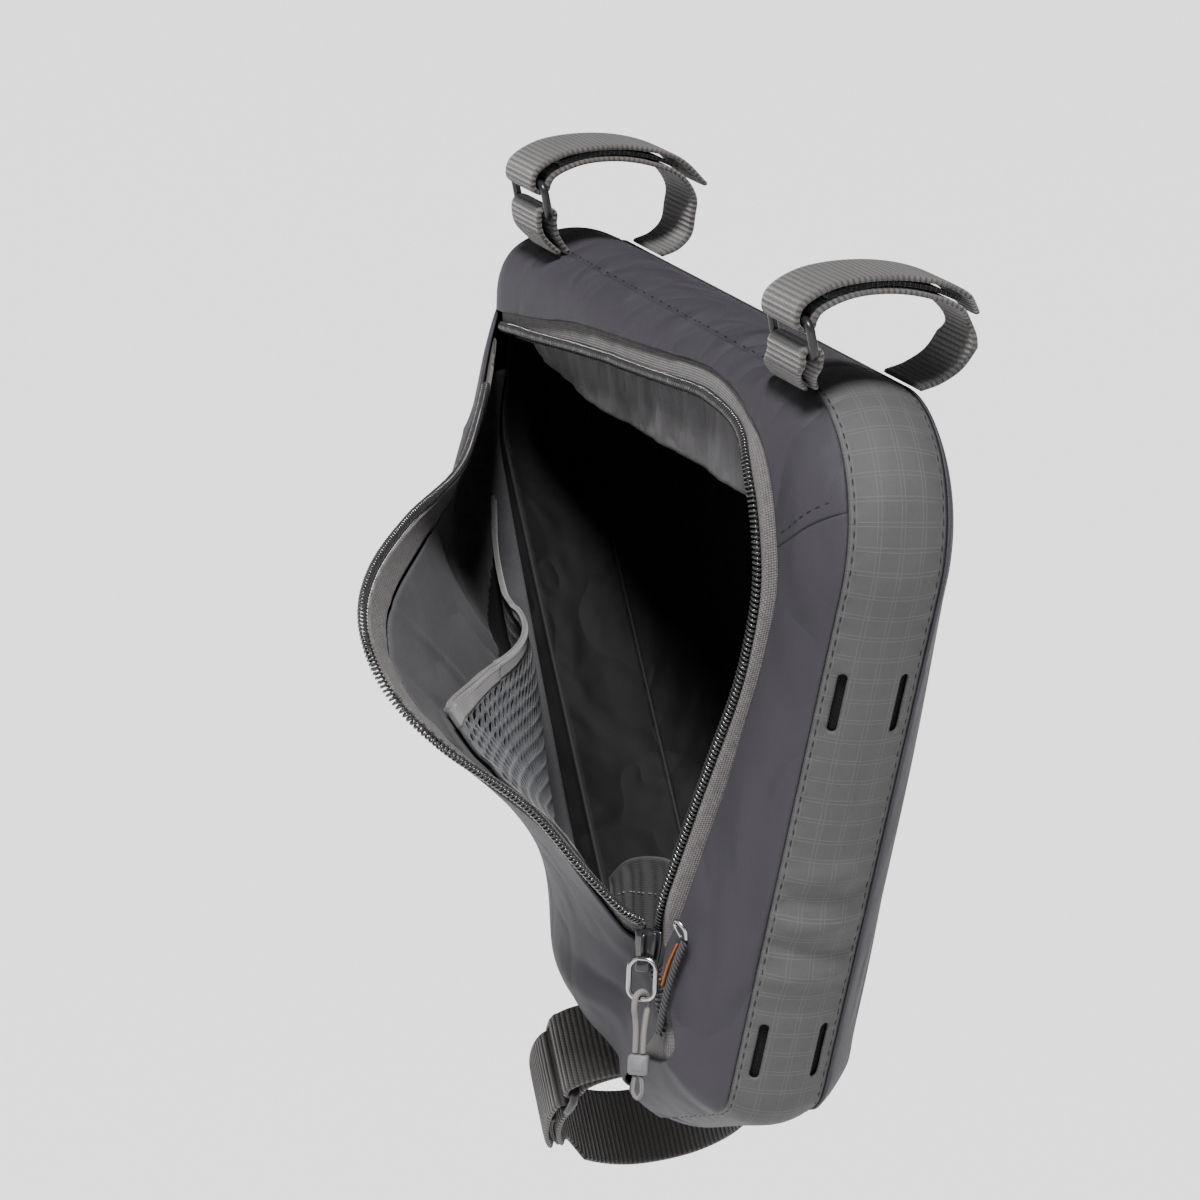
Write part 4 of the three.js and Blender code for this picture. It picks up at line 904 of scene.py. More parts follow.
# Facings
# Strips of the pale lining cloth hang inside: one under the upper teeth, gathered and turned over at its free
# edge, and one with a curved stitched hem behind the slider.
facing_under = tape_under + (tape_thick + lining_thick) / 2 + small_gap + 0.3 * mm
facing_y = 17.5 * mm
places, v = np.meshgrid(np.linspace(0.3, 7.4, 300), np.linspace(0, 1, 22), indexing="ij")
top_edge = beside_teeth(places[:, 0], 3 * mm, facing_under)
teeth = teeth_spot(places[:, 0])
low_edge = np.stack([teeth[:, 0] - 2 * mm, -facing_y - 0.8 * mm * np.sin(places[:, 0] * 5),
                     teeth[:, 1] - table_at(side_table, "facing", places[:, 0]) * bag_depth], -1)
facing = top_edge[:, None] + (low_edge - top_edge)[:, None] * v[..., None]
gathers = np.sin(places * 13 + 1.5 * v + np.sin(places * 3.1)) + 0.6 * np.sin(places * 23 - 2 * v)
facing[..., 1] += 0.5 * mm * gathers * ease(v / 0.3) * (1 - 0.5 * ease((v - 0.85) / 0.1))
upper_facing = new_piece("upper_facing", *cloth_wall(facing, laid_flat(facing), lining_thick), ["facing_top"],
                         "lining")
facing_lining = finish_of("facing_weave", (0.075, 0.07, 0.075), 0.8, (0.02, 0.5),
                          woven(0.5 * mm, 0.5 * mm), 0.12 * mm, 0.4,
                          sheen=0.1, creased=9 * mm, crease_size=14 * mm)
paint(upper_facing, facing_lining)

hem_table = columns("hem_along hem_down foot_along foot_down", [
    (0.552, 0.72, 0.615, 0.81), (0.59, 0.685, 0.65, 0.815), (0.64, 0.66, 0.69, 0.82), (0.7, 0.64, 0.73, 0.81),
    (0.74, 0.635, 0.77, 0.79)])
hem_y = 24.7 * mm
places, v = np.meshgrid(np.linspace(0, 4, 70), np.linspace(0, 1, 44), indexing="ij")
hem = bag_point(table_at(hem_table, "hem_along", places), table_at(hem_table, "hem_down", places))
foot = bag_point(table_at(hem_table, "foot_along", places), table_at(hem_table, "foot_down", places))
spot = hem + (foot - hem) * v[..., None]
creases = 0.35 * mm * (np.sin(places * 5 + 3 * v) + 0.7 * np.sin(places * 11 - 4 * v)) * ease(v / 0.1)
low_facing = np.stack([spot[..., 0], -hem_y - 2.5 * mm * v + creases, spot[..., 1]], -1)
lower_facing = new_piece("lower_facing", *cloth_wall(low_facing, laid_flat(low_facing), lining_thick),
                         ["facing_bottom"], "lining")
dim_lining = finish_of("lower_facing_weave", (0.06, 0.06, 0.06), 0.8, (0.02, 0.5),
                       woven(0.5 * mm, 0.5 * mm), 0.12 * mm, 0.4)
paint(lower_facing, dim_lining)

# Net pocket and its binding
# A knitted net of soft dark thread lies over the lower part of the lining, sewn down on three sides. Its mouth
# hangs a little open and is edged with a folded elastic binding.
net_thick = 0.8 * mm
net_lift = inner_lift + (lining_thick + 1.2 * mm) / 2 + small_gap + 0.7 * mm
pocket_sag = 9 * mm


def pocket_grid(across_count, down_count):
    """The pocket's middle surface: across from the zip's edge to the valley, down from the mouth."""
    a, d = np.meshgrid(np.linspace(0, 1, across_count), np.linspace(0, 1, down_count), indexing="ij")
    place, share = ((mouth_outer[k] + (foot_outer[k] - mouth_outer[k]) * d) * (1 - a)
                    + (mouth_inner[k] + (foot_inner[k] - mouth_inner[k]) * d) * a for k in range(2))
    sag = pocket_sag * np.sin(np.pi * a) * (1 - d) ** 1.5
    spots = flap_rows(place.ravel(), lambda long, slant: long * share.ravel()[:, None],
                      net_lift + sag.ravel()[:, None])
    return spots.reshape(across_count, down_count, 3)


pocket = pocket_grid(56, 44)
pocket_normal = unit(np.cross(np.gradient(pocket, axis=0), np.gradient(pocket, axis=1)))
pocket_flat = laid_flat(pocket)


def on_grid(grid, a, d):
    """Values of a grid between its points, for shares of its two ways."""
    x = np.clip(a, 0, 1) * (grid.shape[0] - 1)
    y = np.clip(d, 0, 1) * (grid.shape[1] - 1)
    i = np.minimum(x.astype(int), grid.shape[0] - 2)
    j = np.minimum(y.astype(int), grid.shape[1] - 2)
    x, y = (x - i)[:, None], (y - j)[:, None]
    return (grid[i, j] * (1 - x) * (1 - y) + grid[i + 1, j] * x * (1 - y)
            + grid[i, j + 1] * (1 - x) * y + grid[i + 1, j + 1] * x * y)


cells_across, cells_down = 30, 24
hole_share = 0.7
hexagon = np.array([(0.5, 0.25), (0, 0.5), (-0.5, 0.25), (-0.5, -0.25), (0, -0.5), (0.5, -0.25)])
cell_size = np.array([1 / cells_across, 1 / (0.75 * cells_down)])
corner_number, corner_at, net_faces = {}, [], []


def net_corner(a, d):
    """The number of a corner of the net, made once."""
    key = (round(min(1, max(0, a)) * 9e4), round(min(1, max(0, d)) * 9e4))
    if key not in corner_number:
        corner_number[key] = len(corner_at)
        corner_at.append((key[0] / 9e4, key[1] / 9e4))
    return corner_number[key]


for row in range(cells_down + 1):
    for col in range(cells_across + 1):
        centre = np.array([(col + 0.5 * (row % 2)) * cell_size[0], row * 0.75 * cell_size[1]])
        outer = [net_corner(*(centre + h * cell_size)) for h in hexagon]
        whole = np.all((centre > 0.55 * cell_size) & (centre < 1 - 0.55 * cell_size))
        inner = [net_corner(*(centre + h * cell_size * hole_share)) for h in hexagon]
        for k in range(6):
            quad = [outer[k], outer[(k + 1) % 6], inner[(k + 1) % 6], inner[k]]
            if len(set(quad)) == 4:
                net_faces.append(quad)
        if not whole:
            for quad in ([inner[k] for k in (0, 1, 2, 3)], [inner[k] for k in (0, 3, 4, 5)]):
                if len(set(quad)) == 4:
                    net_faces.append(quad)
corner_at = np.array(corner_at)
net_spots = on_grid(pocket, *corner_at.T)
net = new_piece("net_pocket", *thickened(net_spots, on_grid(pocket_normal, *corner_at.T), net_faces,
                                         on_grid(pocket_flat, *corner_at.T), net_thick),
                ["mesh_pocket"], "net")
net_thread = finish_of("net_thread", (0.04, 0.042, 0.05), 0.6, (0.01, 0.5),
                       woven(0.28 * mm, 0.5 * mm), 0.12 * mm, 0.5,
                       sheen=0.3)
paint(net, net_thread)

binding_width = 4.4 * mm
binding_start = 1.2 * mm
binding_step = 2 / 19
away = unit(pocket[:, 0] - on_grid(pocket, np.linspace(0, 1, len(pocket)), np.full(len(pocket), binding_step)))
reach = np.linspace(binding_start + binding_width, binding_start - 2.5 * mm, 15)
line_up = np.linspace(0, len(pocket) - 1, 200)
edge_line = np.stack([np.interp(line_up, np.arange(len(pocket)), pocket[:, 0, k]) for k in range(3)], 1)
away_line = unit(np.stack([np.interp(line_up, np.arange(len(pocket)), away[:, k]) for k in range(3)], 1))
binding = edge_line[:, None] + away_line[:, None] * reach[None, :, None]
binding_normal = unit(np.cross(np.gradient(binding, axis=0), np.gradient(binding, axis=1)))
fold_ridge = 0.35 * mm * bell((reach - binding_start - binding_width + 0.8 * mm) / (0.6 * mm))
fold_ridge = fold_ridge - 0.2 * mm * bell((reach - binding_start - binding_width + 1.9 * mm) / (0.5 * mm))
binding = binding + binding_normal * fold_ridge[None, :, None]
binding_piece = new_piece("pocket_binding_tape", *cloth_wall(binding, laid_flat(binding), 1.5 * mm),
                          ["pocket_binding"], "tape")
ribbed_tape = finish_of("ribbed_elastic", (0.12, 0.113, 0.112), 0.8, (0.01, 0.4),
                        woven(0.55 * mm, 0.75 * mm), 0.16 * mm, 0.5,
                        sheen=0.3)
paint(binding_piece, ribbed_tape)

# Zip
# A number 5 coil zip: two woven tapes with a nylon coil sewn along each edge, a turn every 1.44 mm, closed below
# the slider. One tape is sewn to the border, the other to the flap.
tooth_pitch = 1.44 * mm
coil_wide = 1.45 * mm
coil_high = 0.95 * mm
coil_wire = 0.42 * mm
coil_raised = 1.2 * mm
tape_inner = coil_radius + small_gap + 0.8 * mm
flap_tape_inner = tape_inner + 0.3 * mm
tape_lift = inner_lift + 0.2 * mm
zip_tape = finish_of("zip_tape", (0.12, 0.108, 0.108), 0.85, (0.0022, 1.6),
                     woven(0.72 * mm, 0.72 * mm), 0.3 * mm, 0.85,
                     sheen=0.15)
coil_nylon = finish_of("coil_nylon", (0.022, 0.021, 0.021), 0.22, (0.006, 0.3), coat=0.6)

teeth_out = 1.7 * mm
roll_from_place = 5.5              # the tape lies flat under the top of the border and rolls from here on


def tape_depth(places, distance):
    """How far the tape lies under the cloth: it rolls outwards from the border's fold to the teeth."""
    roll = (tape_under + teeth_out) * ease((places - roll_from_place) / 1.5) * ease((slider_place - places) / 1.2)
    return tape_under - roll * ease((zip_tape_width + 0.2 * mm - distance) / (4.5 * mm))


fixed_places = np.linspace(0, slider_place - 0.12, 520)
across_share = np.linspace(0, 1, 13)
tape_span = [tape_outer + (tape_inner - 0.9 * mm - tape_outer) * a for a in across_share]
fixed_tape = np.stack([beside_teeth(fixed_places, np.full(len(fixed_places), d), tape_depth(fixed_places, d))
                       for d in tape_span], 1)
flap_tape_places = np.linspace(1.1, flap_slider - 0.35, 420)
flap_tape = flap_rows(flap_tape_places, lambda long, slant: long - (
    tape_outer + (flap_tape_inner - 0.9 * mm - tape_outer) * across_share) / slant, tape_lift)
for name, tape, node in (("tape_on_border", fixed_tape, "zip_tape_fixed"),
                         ("tape_on_flap", flap_tape, "zip_tape_flap")):
    paint(new_piece(name, *cloth_wall(tape, laid_flat(tape), tape_thick), [node], "tape"), zip_tape)


def coil_along(line, normal, wide=coil_wide, high=coil_high, wire=coil_wire):
    """A flattened coil of nylon wound along the teeth."""
    run = run_along(line)
    marks = np.arange(0, run[-1], tooth_pitch / 9)
    middle, over = (np.stack([np.interp(marks, run, p[:, k]) for k in range(3)], 1) for p in (line, normal))
    ahead = unit(np.gradient(middle, axis=0))
    over = unit(over - ahead * np.sum(over * ahead, 1, keepdims=True))
    angle = (2 * np.pi * marks / tooth_pitch)[:, None]
    middle = middle + over * coil_raised
    wound = middle + np.cross(ahead, over) * wide * np.cos(angle) + over * high * np.sin(angle)
    return tube_mesh(wound, wire, 6)


coil_places = np.linspace(0.12, slider_place - 0.2, 900)
fixed_teeth = beside_teeth(coil_places, 0 * coil_places, tape_depth(coil_places, 0))
fixed_side = beside_teeth(coil_places, 0 * coil_places + 1.5 * mm, tape_depth(coil_places, 1.5 * mm))
fixed_side = fixed_side - fixed_teeth
fixed_over = unit(np.cross(np.gradient(fixed_teeth, axis=0), fixed_side))
fixed_over *= -np.sign(fixed_over[:, 1:2])
flap_coil_places = np.linspace(1.45, flap_slider - 0.45, 600)
flap_ends = flap_rows(flap_coil_places, lambda long, slant: long + np.array([[-1.5 * mm, 0]]), tape_lift)
flap_teeth = flap_ends[:, 1]
flap_over = unit(np.cross(np.gradient(flap_teeth, axis=0), flap_ends[:, 1] - flap_ends[:, 0]))
for name, teeth_line, over_way, node in (("coil_on_border", fixed_teeth, fixed_over, "zip_coil_fixed"),
                                         ("coil_on_flap", flap_teeth, flap_over, "zip_coil_flap")):
    paint(new_piece(name, *coil_along(teeth_line, over_way), [node], "tape"), coil_nylon)

end_places = np.linspace(slider_place + 0.3, zip_end_place + 0.97, 90)
end_share = np.linspace(-4.4, 9.6, 29) * mm
end_teeth = teeth_spot(end_places)
end_way = unit(teeth_spot(end_places + 0.02) - end_teeth)
end_across = np.stack([-end_way[:, 1], end_way[:, 0]], -1)
narrowing = (zip_tape_width + (2.6 * mm - zip_tape_width) * ease(end_places - zip_end_place)) / zip_tape_width
spot = end_teeth[:, None] + end_across[:, None] * end_share[None, :, None] * narrowing[:, None, None]
end_under = tape_under + 0.4 * mm
closed_tape = np.stack([spot[..., 0], end_under - side_out(spot[..., 0], spot[..., 1]), spot[..., 1]], -1)
ridge_long = 42
ridge = np.stack([end_teeth[:, 0], end_under - 0.9 * mm - side_out(*end_teeth.T), end_teeth[:, 1]], -1)
ridge = ridge[:ridge_long]
closed_end = joined([cloth_wall(closed_tape, laid_flat(closed_tape), tape_thick),
                     coil_along(ridge, np.tile([0, -1.0, 0], (ridge_long, 1)), 2.0 * mm, 0.75 * mm)])
paint(new_piece("closed_zip_end", *closed_end, ["zip_end"], "tape"), zip_tape)

# Slider, wire loop and tag
# A small die-cast slider, painted black. A bright wire loop hangs in its bridge and carries the doubled cord,
# whose ends are held in a bare black tag with a short end loop.
black_paint = finish_of("black_paint", (0.012, 0.012, 0.013), 0.3, (0.004, 0.4), coat=0.4)
bright_wire = finish_of("bright_wire", (0.36, 0.36, 0.38), 0.22, (0.004, 0.15), metallic=1.0)


def slab(outline, depth, bevel, axes, middle):
    """A flat plate with rounded edges from an outline given across and down."""
    outline = np.array(outline, float)
    inward = unit(outline.mean(0) - outline)
    rings = [(outline + inward * bevel, -depth / 2), (outline, -depth / 2 + bevel), (outline, depth / 2 - bevel),
             (outline + inward * bevel, depth / 2)]
    across_way, down_way, forward_way = (np.array(a) for a in axes)
    spots = np.vstack([np.array(middle) + p[:, :1] * across_way + p[:, 1:] * down_way + h * forward_way
                       for p, h in rings])
    n = len(outline)
    faces = [[r * n + k, r * n + (k + 1) % n, (r + 1) * n + (k + 1) % n, (r + 1) * n + k]
             for r in range(3) for k in range(n)]
    faces += [list(range(n))[::-1], [3 * n + k for k in range(n)]]
    return spots, faces, np.column_stack([spots[:, 0], spots[:, 2], np.ones(len(spots))])


def rounded(points, radius, steps=6):
    """An outline with its corners rounded."""
    points = np.array(points, float)
    line = []
    for k, corner in enumerate(points):
        before = unit(points[k - 1] - corner) * radius
        after = unit(points[(k + 1) % len(points)] - corner) * radius
        for t in np.linspace(0, 1, steps):
            line.append(corner + before * (1 - t) ** 2 + after * t ** 2)
    return np.array(line)


head = rounded(np.array([(-3.9, -4.6), (-1.5, -5.1), (1.5, -5.1), (3.9, -4.6), (3.8, -0.5), (2.9, 4.9),
                         (-2.9, 4.9), (-3.8, -0.5)]) * mm, 0.9 * mm)
neck = rounded(np.array([(-1.4, -4.6), (1.4, -4.6), (1.4, -1.6), (-1.4, -1.6)]) * mm, 0.4 * mm)
tab = rounded(np.array([(-1.9, -1.2), (1.9, -1.2), (2.2, 3.2), (-2.2, 3.2)]) * mm, 0.9 * mm)
plate_away = slider_depth / 2 - 0.5 * mm
arch = centripetal([hung(slider_axes, 0, d * mm, plate_away + f * mm) for d, f in (
    (-3.6, -0.1), (-3.2, 1.0), (-1.0, 1.5), (1.6, 1.4), (3.0, 1.0), (3.4, -0.1))], 8)
slider_parts = [slab(head, 1.0 * mm, 0.35 * mm, slider_axes, hung(slider_axes, 0, 0, side * plate_away))
                for side in (-1, 1)]
slider_parts.append(slab(neck, 2.4 * mm, 0.2 * mm, slider_axes, hung(slider_axes, 0, 0, 0)))
slider_parts.append(tube_mesh(arch, 0.75 * mm, 12))
slider_parts.append(slab(tab, 1.5 * mm, 0.4 * mm, pull_axes, hung(pull_axes, 0, 3.4 * mm, bail_forward)))
paint(new_piece("slider_body", *joined(slider_parts), ["zip_slider"], "plastic"), black_paint)


def loop_line(half_width, half_height, corner, steps=10):
    """A rectangle with round corners, as a closed line of points about its middle."""
    line = []
    for cx, cy, start in ((1, 1, 0), (-1, 1, 1), (-1, -1, 2), (1, -1, 3)):
        for angle in (start + np.linspace(0, 1, steps)) * math.pi / 2:
            line.append((cx * (half_width - corner) + corner * math.cos(angle),
                         cy * (half_height - corner) + corner * math.sin(angle)))
    return np.array(line)


bail_line = [hung(pull_axes, x, bail_down + d, bail_forward) for x, d in
             loop_line(bail_half_width, bail_half_height, 3 * mm)]
paint(new_piece("wire_loop", *tube_mesh(bail_line, bail_wire, 14, loop=True), ["puller_bail"], "steel"),
      bright_wire)

tag_size = 6 * mm
tag_down = bail_foot + cord_drop + small_gap + tag_size / 2
tag_outline = rounded(np.array([(-1, -1), (1, -1), (1, 1), (-1, 1)]) * tag_size / 2, 1.3 * mm)
groove_outline = rounded(np.array([(-0.62, -0.62), (0.62, -0.62), (0.62, 0.62), (-0.62, 0.62)]) * tag_size / 2,
                         0.7 * mm)
tag_parts = [slab(tag_outline, 3.0 * mm, 0.5 * mm, pull_axes, hung(pull_axes, 0, tag_down, bail_forward)),
             slab(groove_outline, 3.4 * mm, 0.3 * mm, pull_axes, hung(pull_axes, 0, tag_down, bail_forward))]
tag_rubber = finish_of("tag_rubber", (0.11, 0.11, 0.115), 0.5, (0.004, 0.4))
paint(new_piece("bare_tag", *joined(tag_parts), ["puller_tag"], "plastic"), tag_rubber)
tag_foot = tag_down + tag_size / 2 + small_gap
end_loop = [(-0.9, 0), (-1.3, 3), (-1.2, 5.2), (0, 6.6), (1.2, 5.2), (1.3, 3), (0.9, 0)]
end_line = centripetal([hung(pull_axes, x * mm, tag_foot + d * mm, bail_forward) for x, d in end_loop], 8)
paint(new_piece("end_loop", *tube_mesh(end_line, 0.62 * mm, 12), ["puller_loop"], "pale_cord"), pale_braid)

# Small hook and orange edge
# The second pull's cord ends in a bright wire hook. A sliver of orange tape shows from under its seam.
wire_line = np.array([(88.8, -31.4, -166.9), (87, -33, -163.6), (90.4, -33.6, -161.8), (92.6, -32, -163.8),
                      (91.4, -30.8, -166.9)]) * mm
wire_line[:, 1] -= 0.8 * mm
paint(new_piece("small_wire", *tube_mesh(centripetal(wire_line, 10), 0.6 * mm, 12), ["hold_wire"], "steel"),
      bright_wire)
tab_line = centripetal(np.array([(85.7, -31.6, -170), (82.7, -32.5, -177), (80.1, -32.9, -184.5)]) * mm, 12)
tab_side = np.array([-0.5, 0.7, 0]) * mm
edge_grid = np.stack([tab_line - tab_side, tab_line, tab_line + tab_side], 1)
orange_tape = finish_of("orange_tape", (0.3, 0.085, 0.02), 0.6, (0.005, 0.3),
                        woven(0.4 * mm, 0.4 * mm), 0.1 * mm, 0.3)
paint(new_piece("orange_edge", *cloth_wall(edge_grid, laid_flat(edge_grid), 0.6 * mm), ["edge_tab"], "orange"),
      orange_tape)

# Straps
# Three straps of ribbed 25 mm webbing. Each is sewn in at the right seam, goes round the tube, through a
# black wire ring and back on itself, held by hook tape. A short loop of the webbing holds the ring.
web_width, web_thick = 25 * mm, 1.4 * mm
rib_pitch, rib_high = 1.64 * mm, 0.15 * mm
ring_wire, ring_corner = 1.3 * mm, 3 * mm
hook_width = 21 * mm
sections = {
    "top": {
        "strap": [(15.8, -2.6), (21, -0.2), (24.6, 4), (25.3, 10), (25.2, 16), (20, 22.5), (10, 26), (-2, 27.2),
                  (-14, 25.5), (-22.4, 21.2), (-23.8, 18.7), (-24.3, 16.8), (-26.4, 15.8), (-28.5, 16.9),
                  (-29, 19.4), (-27.8, 22.7), (-19, 28.2), (2, 31), (19, 27.8), (28.5, 20.3)],
        "hook": [(-20, 25), (-12, 27.6), (-2, 29.05), (10, 28), (19, 25.2)],
        "loop": [(-15.6, -2.7), (-19.6, 2.5), (-20.8, 6.5), (-21, 9.6), (-23.4, 10.9), (-25.8, 9.5), (-26, 7),
                 (-24.6, 2.5), (-18.6, -3)],
        "bars": [(-26.4, 18.5), (-23.4, 8.2)]},
    "down": {
        "strap": [(16, 1.4), (23, 7), (29, 17), (31.2, 30), (28, 44.2), (18, 55.6), (0, 61.3), (-18, 55.6),
                  (-28, 44.2), (-31.2, 33), (-30.9, 26), (-30.4, 22.6), (-31, 20.4), (-33, 19.8), (-35.1, 20.6),
                  (-36, 23.5), (-35.8, 31), (-32.2, 44), (-24.6, 55.2)],
        "hook": [(-33.2, 33), (-32, 39.2), (-29.7, 44.9), (-26.4, 50.1)],
        "loop": [(-16, 1.4), (-22, 3.2), (-28, 7.3), (-30.4, 11), (-30.7, 13.9), (-33, 15.2), (-35.3, 13.8),
                 (-35.5, 11), (-31.9, 6.2), (-25, 2.4), (-18.6, 0.6)],
        "bars": [(-33, 22.5), (-33, 12.5)]}}
bottom_corner = bag_point(0.65, 1.0)
diagonal_way = unit(bag_point(0.0, 0.28) - bottom_corner)
down_spot = bottom_corner + diagonal_way * 28 * mm
strap_table = [("front", (-strap_spacing / 2, 0), (1, 0), 0, 0, "top"),
               ("rear", (strap_spacing / 2, 0), (1, 0), 14 * mm, 9 * mm, "top"),
               ("down", tuple(down_spot), tuple(diagonal_way), 0, 9 * mm, "down")]

ribbed, given, gives = effect("ribbed webbing", [("Rib", "Float"), ("Thread", "Float")], [("Height", "Float")])
flat = cloth_place(ribbed)
rib = sums(ribbed, "ABSOLUTE", sums(ribbed, "SINE", sums(ribbed, "MULTIPLY", sums(
    ribbed, "DIVIDE", flat[1], given["Rib"]), math.pi)))
slant_run = sums(ribbed, "ADD", flat[0], sums(ribbed, "MULTIPLY", flat[1], 0.5))
thread = sums(ribbed, "ABSOLUTE", sums(ribbed, "SINE", sums(ribbed, "MULTIPLY", sums(
    ribbed, "DIVIDE", slant_run, given["Thread"]), math.pi)))
ribbed.links.new(sums(ribbed, "MULTIPLY", rib, sums(ribbed, "MULTIPLY_ADD", thread, 0.5, 0.5)), gives["Height"])
webbing = finish_of("ribbed_webbing", (0.07, 0.063, 0.06), 0.78, (0.012, 0.5),
                    lambda t: use(t, ribbed, Rib=rib_pitch, Thread=0.9 * mm)["Height"], 0.35 * mm, 0.75,
                    sheen=0.3)
hook_tape = finish_of("hook_tape", (0.014, 0.014, 0.015), 0.9, (0.004, 0.9),
                      woven(0.8 * mm, 0.8 * mm), 0.4 * mm, 0.6, sheen=0.4)
ring_plastic = finish_of("ring_plastic", (0.011, 0.011, 0.012), 0.32, (0.006, 0.4), coat=0.2)


def ribbon(section, width, thick, pitch, lean=0.0, lean_top=20 * mm, taper=0.0, ribs=0.0):
    """A ribbon along a section across the bag. lean shifts its foot forwards, taper points its end."""
    line = evened(centripetal([(0, y * mm, z * mm) for y, z in section], 16), pitch)
    run = np.arange(len(line)) * pitch
    shift = -lean * (1 - ease((line[:, 2] + 4 * mm) / lean_top))
    to_end = np.linalg.norm(line - line[-1], axis=1)
    narrow = 0.3 + 0.7 * np.minimum(1, to_end / taper) if taper else np.ones(len(line))
    side = np.linspace(-0.5, 0.5, 19)
    grid = np.repeat(line[:, None], len(side), 1)
    grid[..., 0] = side * (narrow * width)[:, None] + shift[:, None]
    swell = ribs * np.abs(np.sin(np.pi * run / rib_pitch))[:, None] * (1 - np.abs(2 * side) ** 8)[None]
    cloth = np.stack([grid[..., 0], run[:, None] + 0 * grid[..., 0]], -1)
    spots, faces, places = cloth_wall(grid, cloth, thick)
    if ribs:
        normal = unit(np.cross(np.gradient(grid, axis=0), np.gradient(grid, axis=1)))
        raised = (normal * swell[..., None]).reshape(-1, 3)
        spots[:len(raised)] += raised
        spots[len(raised):2 * len(raised)] -= raised
    return spots, faces, places


for name, at, way, lean, taper, hang in strap_table:
    form = sections[hang]
    along_way = np.array([way[0], 0, way[1]])
    axes = np.array([along_way, [0, 1, 0], np.cross(along_way, [0, 1, 0])])
    origin = np.array([at[0], 0, at[1]])
    upper, lower = (np.array([0, y, z]) * mm for y, z in form["bars"])
    ring_up = upper - lower
    ring_shape = loop_line(web_width / 2 + 0.7 * mm + ring_wire, np.linalg.norm(ring_up) / 2, ring_corner)
    ring_line = (upper + lower) / 2 + np.stack([ring_shape[:, 0], 0 * ring_shape[:, 0], 0 * ring_shape[:, 0]], -1)
    ring_line = ring_line + ring_shape[:, 1:] * unit(ring_up)
    parts = {
        "strap": (ribbon(form["strap"], web_width, web_thick, 0.3 * mm, lean, taper=taper, ribs=rib_high),
                  "webbing", webbing),
        "hook": (ribbon(form["hook"], hook_width, 1.2 * mm, 0.6 * mm), "dark", hook_tape),
        "loop": (ribbon(form["loop"], web_width, web_thick, 0.3 * mm, lean, 11 * mm, ribs=rib_high), "webbing",
                 webbing),
        "ring": (tube_mesh(ring_line, ring_wire, 18, loop=True), "plastic", ring_plastic)}
    for part, ((spots, faces, cloth), slot, material) in parts.items():
        made = new_piece(f"{name}_web_{part}", origin + spots @ axes, faces, cloth, [f"{name}_{part}"], slot)
        paint(made, material)

# Seams
# The sides are sewn to the strip right way in and turned, so the seam is a fine dark groove with the thread
# showing as short dashes. The groove's shade is painted: a near-black tube of the dark thread lies in it. The
# same thread sews the cross seam and the hems.
thread_dark, thread_pale = (
    finish_of(name, color, 0.6, (0.004, 0.4), stranded(0.5 * mm, 0.6 * mm), 0.1 * mm, 0.4)
    for name, color in (("dark_thread", (0.012, 0.012, 0.014)), ("pale_thread", (0.3, 0.29, 0.285))))


def dashes(line, over, pitch, long, radius):
    """Stitches along a line: short threads that rise out of the cloth and go back in."""
    run = run_along(line)
    starts = np.arange(pitch / 2, run[-1] - long, pitch)
    part = np.linspace(0, 1, 6)
    lift = np.sin(np.pi * part) ** 0.5 * radius * 1.1 - radius * 0.7
    stitches = []
    for start in starts:
        marks = start + part * long
        middle, up_way = (np.stack([np.interp(marks, run, p[:, k]) for k in range(3)], 1) for p in (line, over))
        width = radius * (0.5 + 0.5 * np.sin(np.pi * part))
        stitches.append(tube_mesh(middle + unit(up_way) * lift[:, None], width, 6, lift=unit(up_way)))
    return joined(stitches)


round_shares = np.linspace(0, 1, 1400)
stitch_in = 1.1 * mm
seam_threads = []
groove_inset = 0.75 * mm
for side, name in ((-1, "left"), (1, "right")):
    seam = seam_point(round_shares[:-1]) - seam_outward(round_shares[:-1]) * groove_inset
    groove_y = np.full(len(seam), side * (half_strip + small_gap / 2 + 0.25 * mm))
    groove = np.stack([seam[:, 0], groove_y, seam[:, 1]], -1)
    # Painted shade: a near-black tube of thread fills the groove, standing for its shade.
    paint(new_piece(f"seam_groove_shade_{name}", *tube_mesh(groove, 0.62 * mm, 8, loop=True), slot="dark"), thread_dark)
    across_y = np.full(len(round_shares), side * (half_strip - stitch_in))
    outward = np.insert(seam_outward(round_shares), 1, 0, axis=1)
    on_strip = strip_point(round_shares, across_y) + outward * cloth_thick / 2
    seam_threads.append(dashes(on_strip, outward, 3.6 * mm, 2.5 * mm, 0.21 * mm))
paint(new_piece("seam_stitches", *joined(seam_threads), slot="dark"), thread_dark)

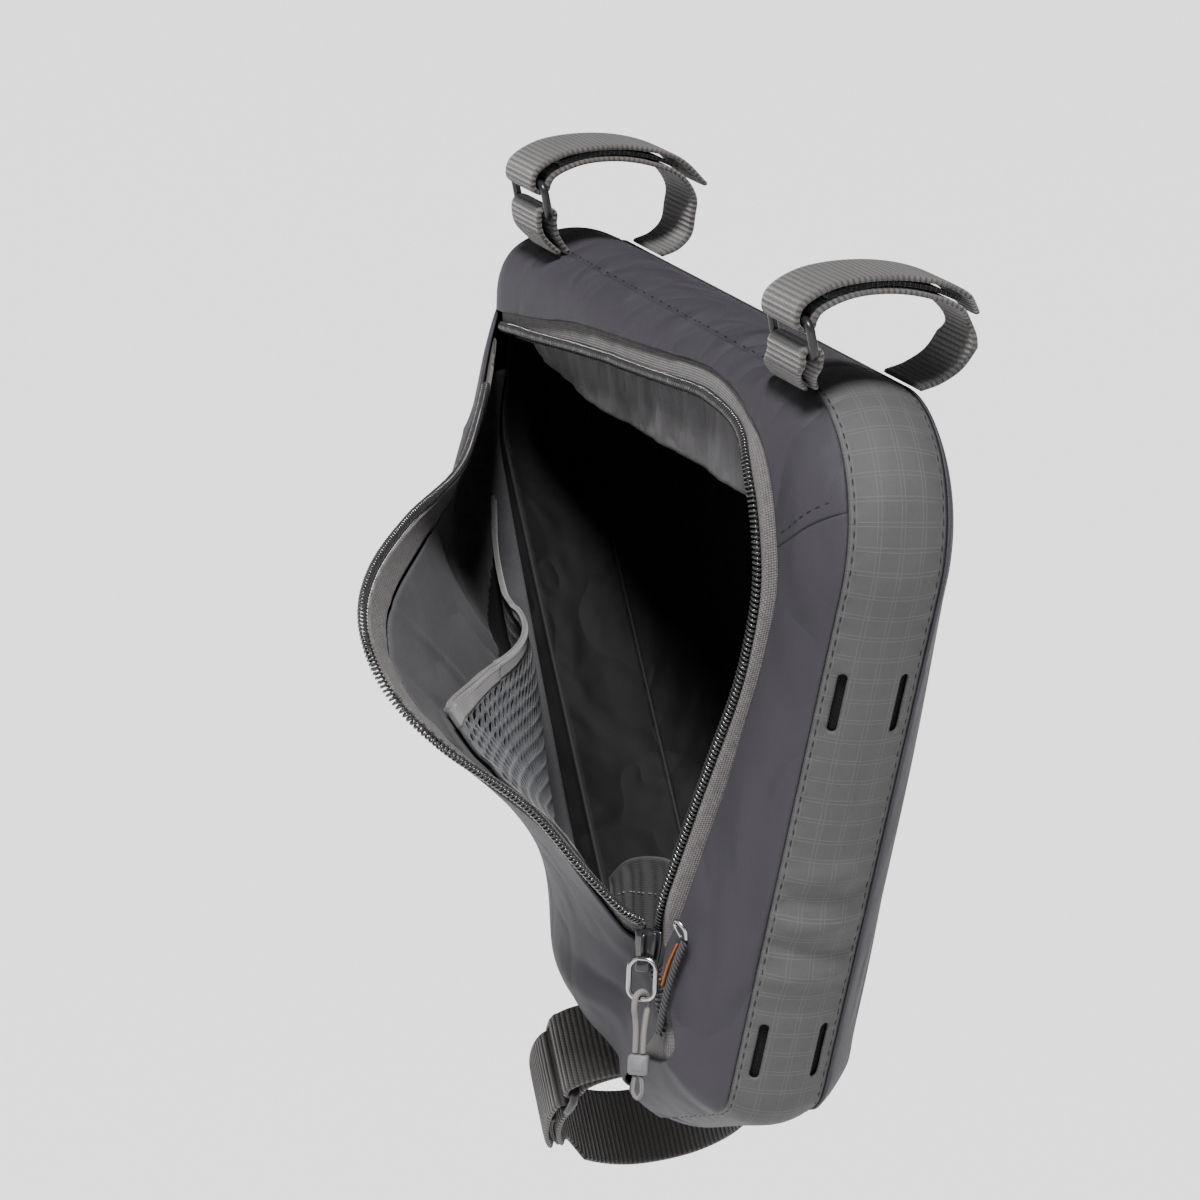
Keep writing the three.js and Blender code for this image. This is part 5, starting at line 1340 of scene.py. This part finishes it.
cross_line = border_top[-1, 1:-1]
cross_over = np.tile([0, -1.0, 0], (len(cross_line), 1))
cross_parts = [tube_mesh(cross_line + cross_over * 0.35 * mm, 0.4 * mm, 8)]
stitch_row = -5                    # counted back from the cross seam, in rows of the border's middle points
cross_parts.append(dashes(border_top[stitch_row, 1:-1] + cross_over * cloth_thick / 2, cross_over, 3.4 * mm,
                          2.4 * mm, 0.22 * mm))
paint(new_piece("cross_seam", *joined(cross_parts), slot="dark"), thread_dark)

hem_line = low_facing[2:-2, 11]
hem_over = np.tile([0.3, -1.0, 0], (len(hem_line), 1))
paint(new_piece("hem_stitches", *dashes(hem_line + unit(hem_over) * lining_thick / 2, hem_over, 4.2 * mm, 2.6 * mm,
                                        0.22 * mm), slot="lining"), thread_pale)

# Floor and light
# A pale studio with a plain floor under the hanging bag. The main light is a sun-like lamp overhead, softened
# by its wide angle. Two small lamps fill in from the rear right and from the open left side.
floor_drop = 0.62
world_strength = 0.16
overhead_strength = 8.5
overhead_angle = math.radians(14)
overhead_from = Vector((0.5, -0.4, 1.0))
lamp_target = Vector((0, 0, -0.1))
bpy.ops.mesh.primitive_plane_add(size=60, location=(0, 0, -floor_drop))
floor = bpy.context.active_object
floor.name = "studio_floor"
floor_paint = bpy.data.materials.new("floor_paint")
floor_paint.use_nodes = True
floor_paint.node_tree.nodes["Principled BSDF"].inputs["Base Color"].default_value = (0.86, 0.86, 0.86, 1)
floor_paint.node_tree.nodes["Principled BSDF"].inputs["Roughness"].default_value = 0.9
floor.data.materials.append(floor_paint)

world = bpy.data.worlds.new("studio")
bpy.context.scene.world = world
world.use_nodes = True
world.node_tree.nodes["Background"].inputs["Color"].default_value = (1, 1, 1, 1)
world.node_tree.nodes["Background"].inputs["Strength"].default_value = world_strength
overhead = bpy.data.lights.new("overhead", "SUN")
overhead.energy = overhead_strength
overhead.angle = overhead_angle
sky = bpy.data.objects.new("overhead", overhead)
bpy.context.scene.collection.objects.link(sky)
sky.rotation_euler = overhead_from.to_track_quat("Z", "Y").to_euler()
light_table = [("rear", (1.5, 1.0, 0.6), 0.9, 4), ("left", (0.2, -1.8, 0.9), 0.9, 3)]
for name, place, size, power in light_table:
    lamp = bpy.data.lights.new(name, "AREA")
    lamp.size = size
    lamp.energy = power
    lit = bpy.data.objects.new(name, lamp)
    bpy.context.scene.collection.objects.link(lit)
    lit.location = place
    lit.rotation_euler = (lamp_target - Vector(place)).to_track_quat("-Z", "Y").to_euler()
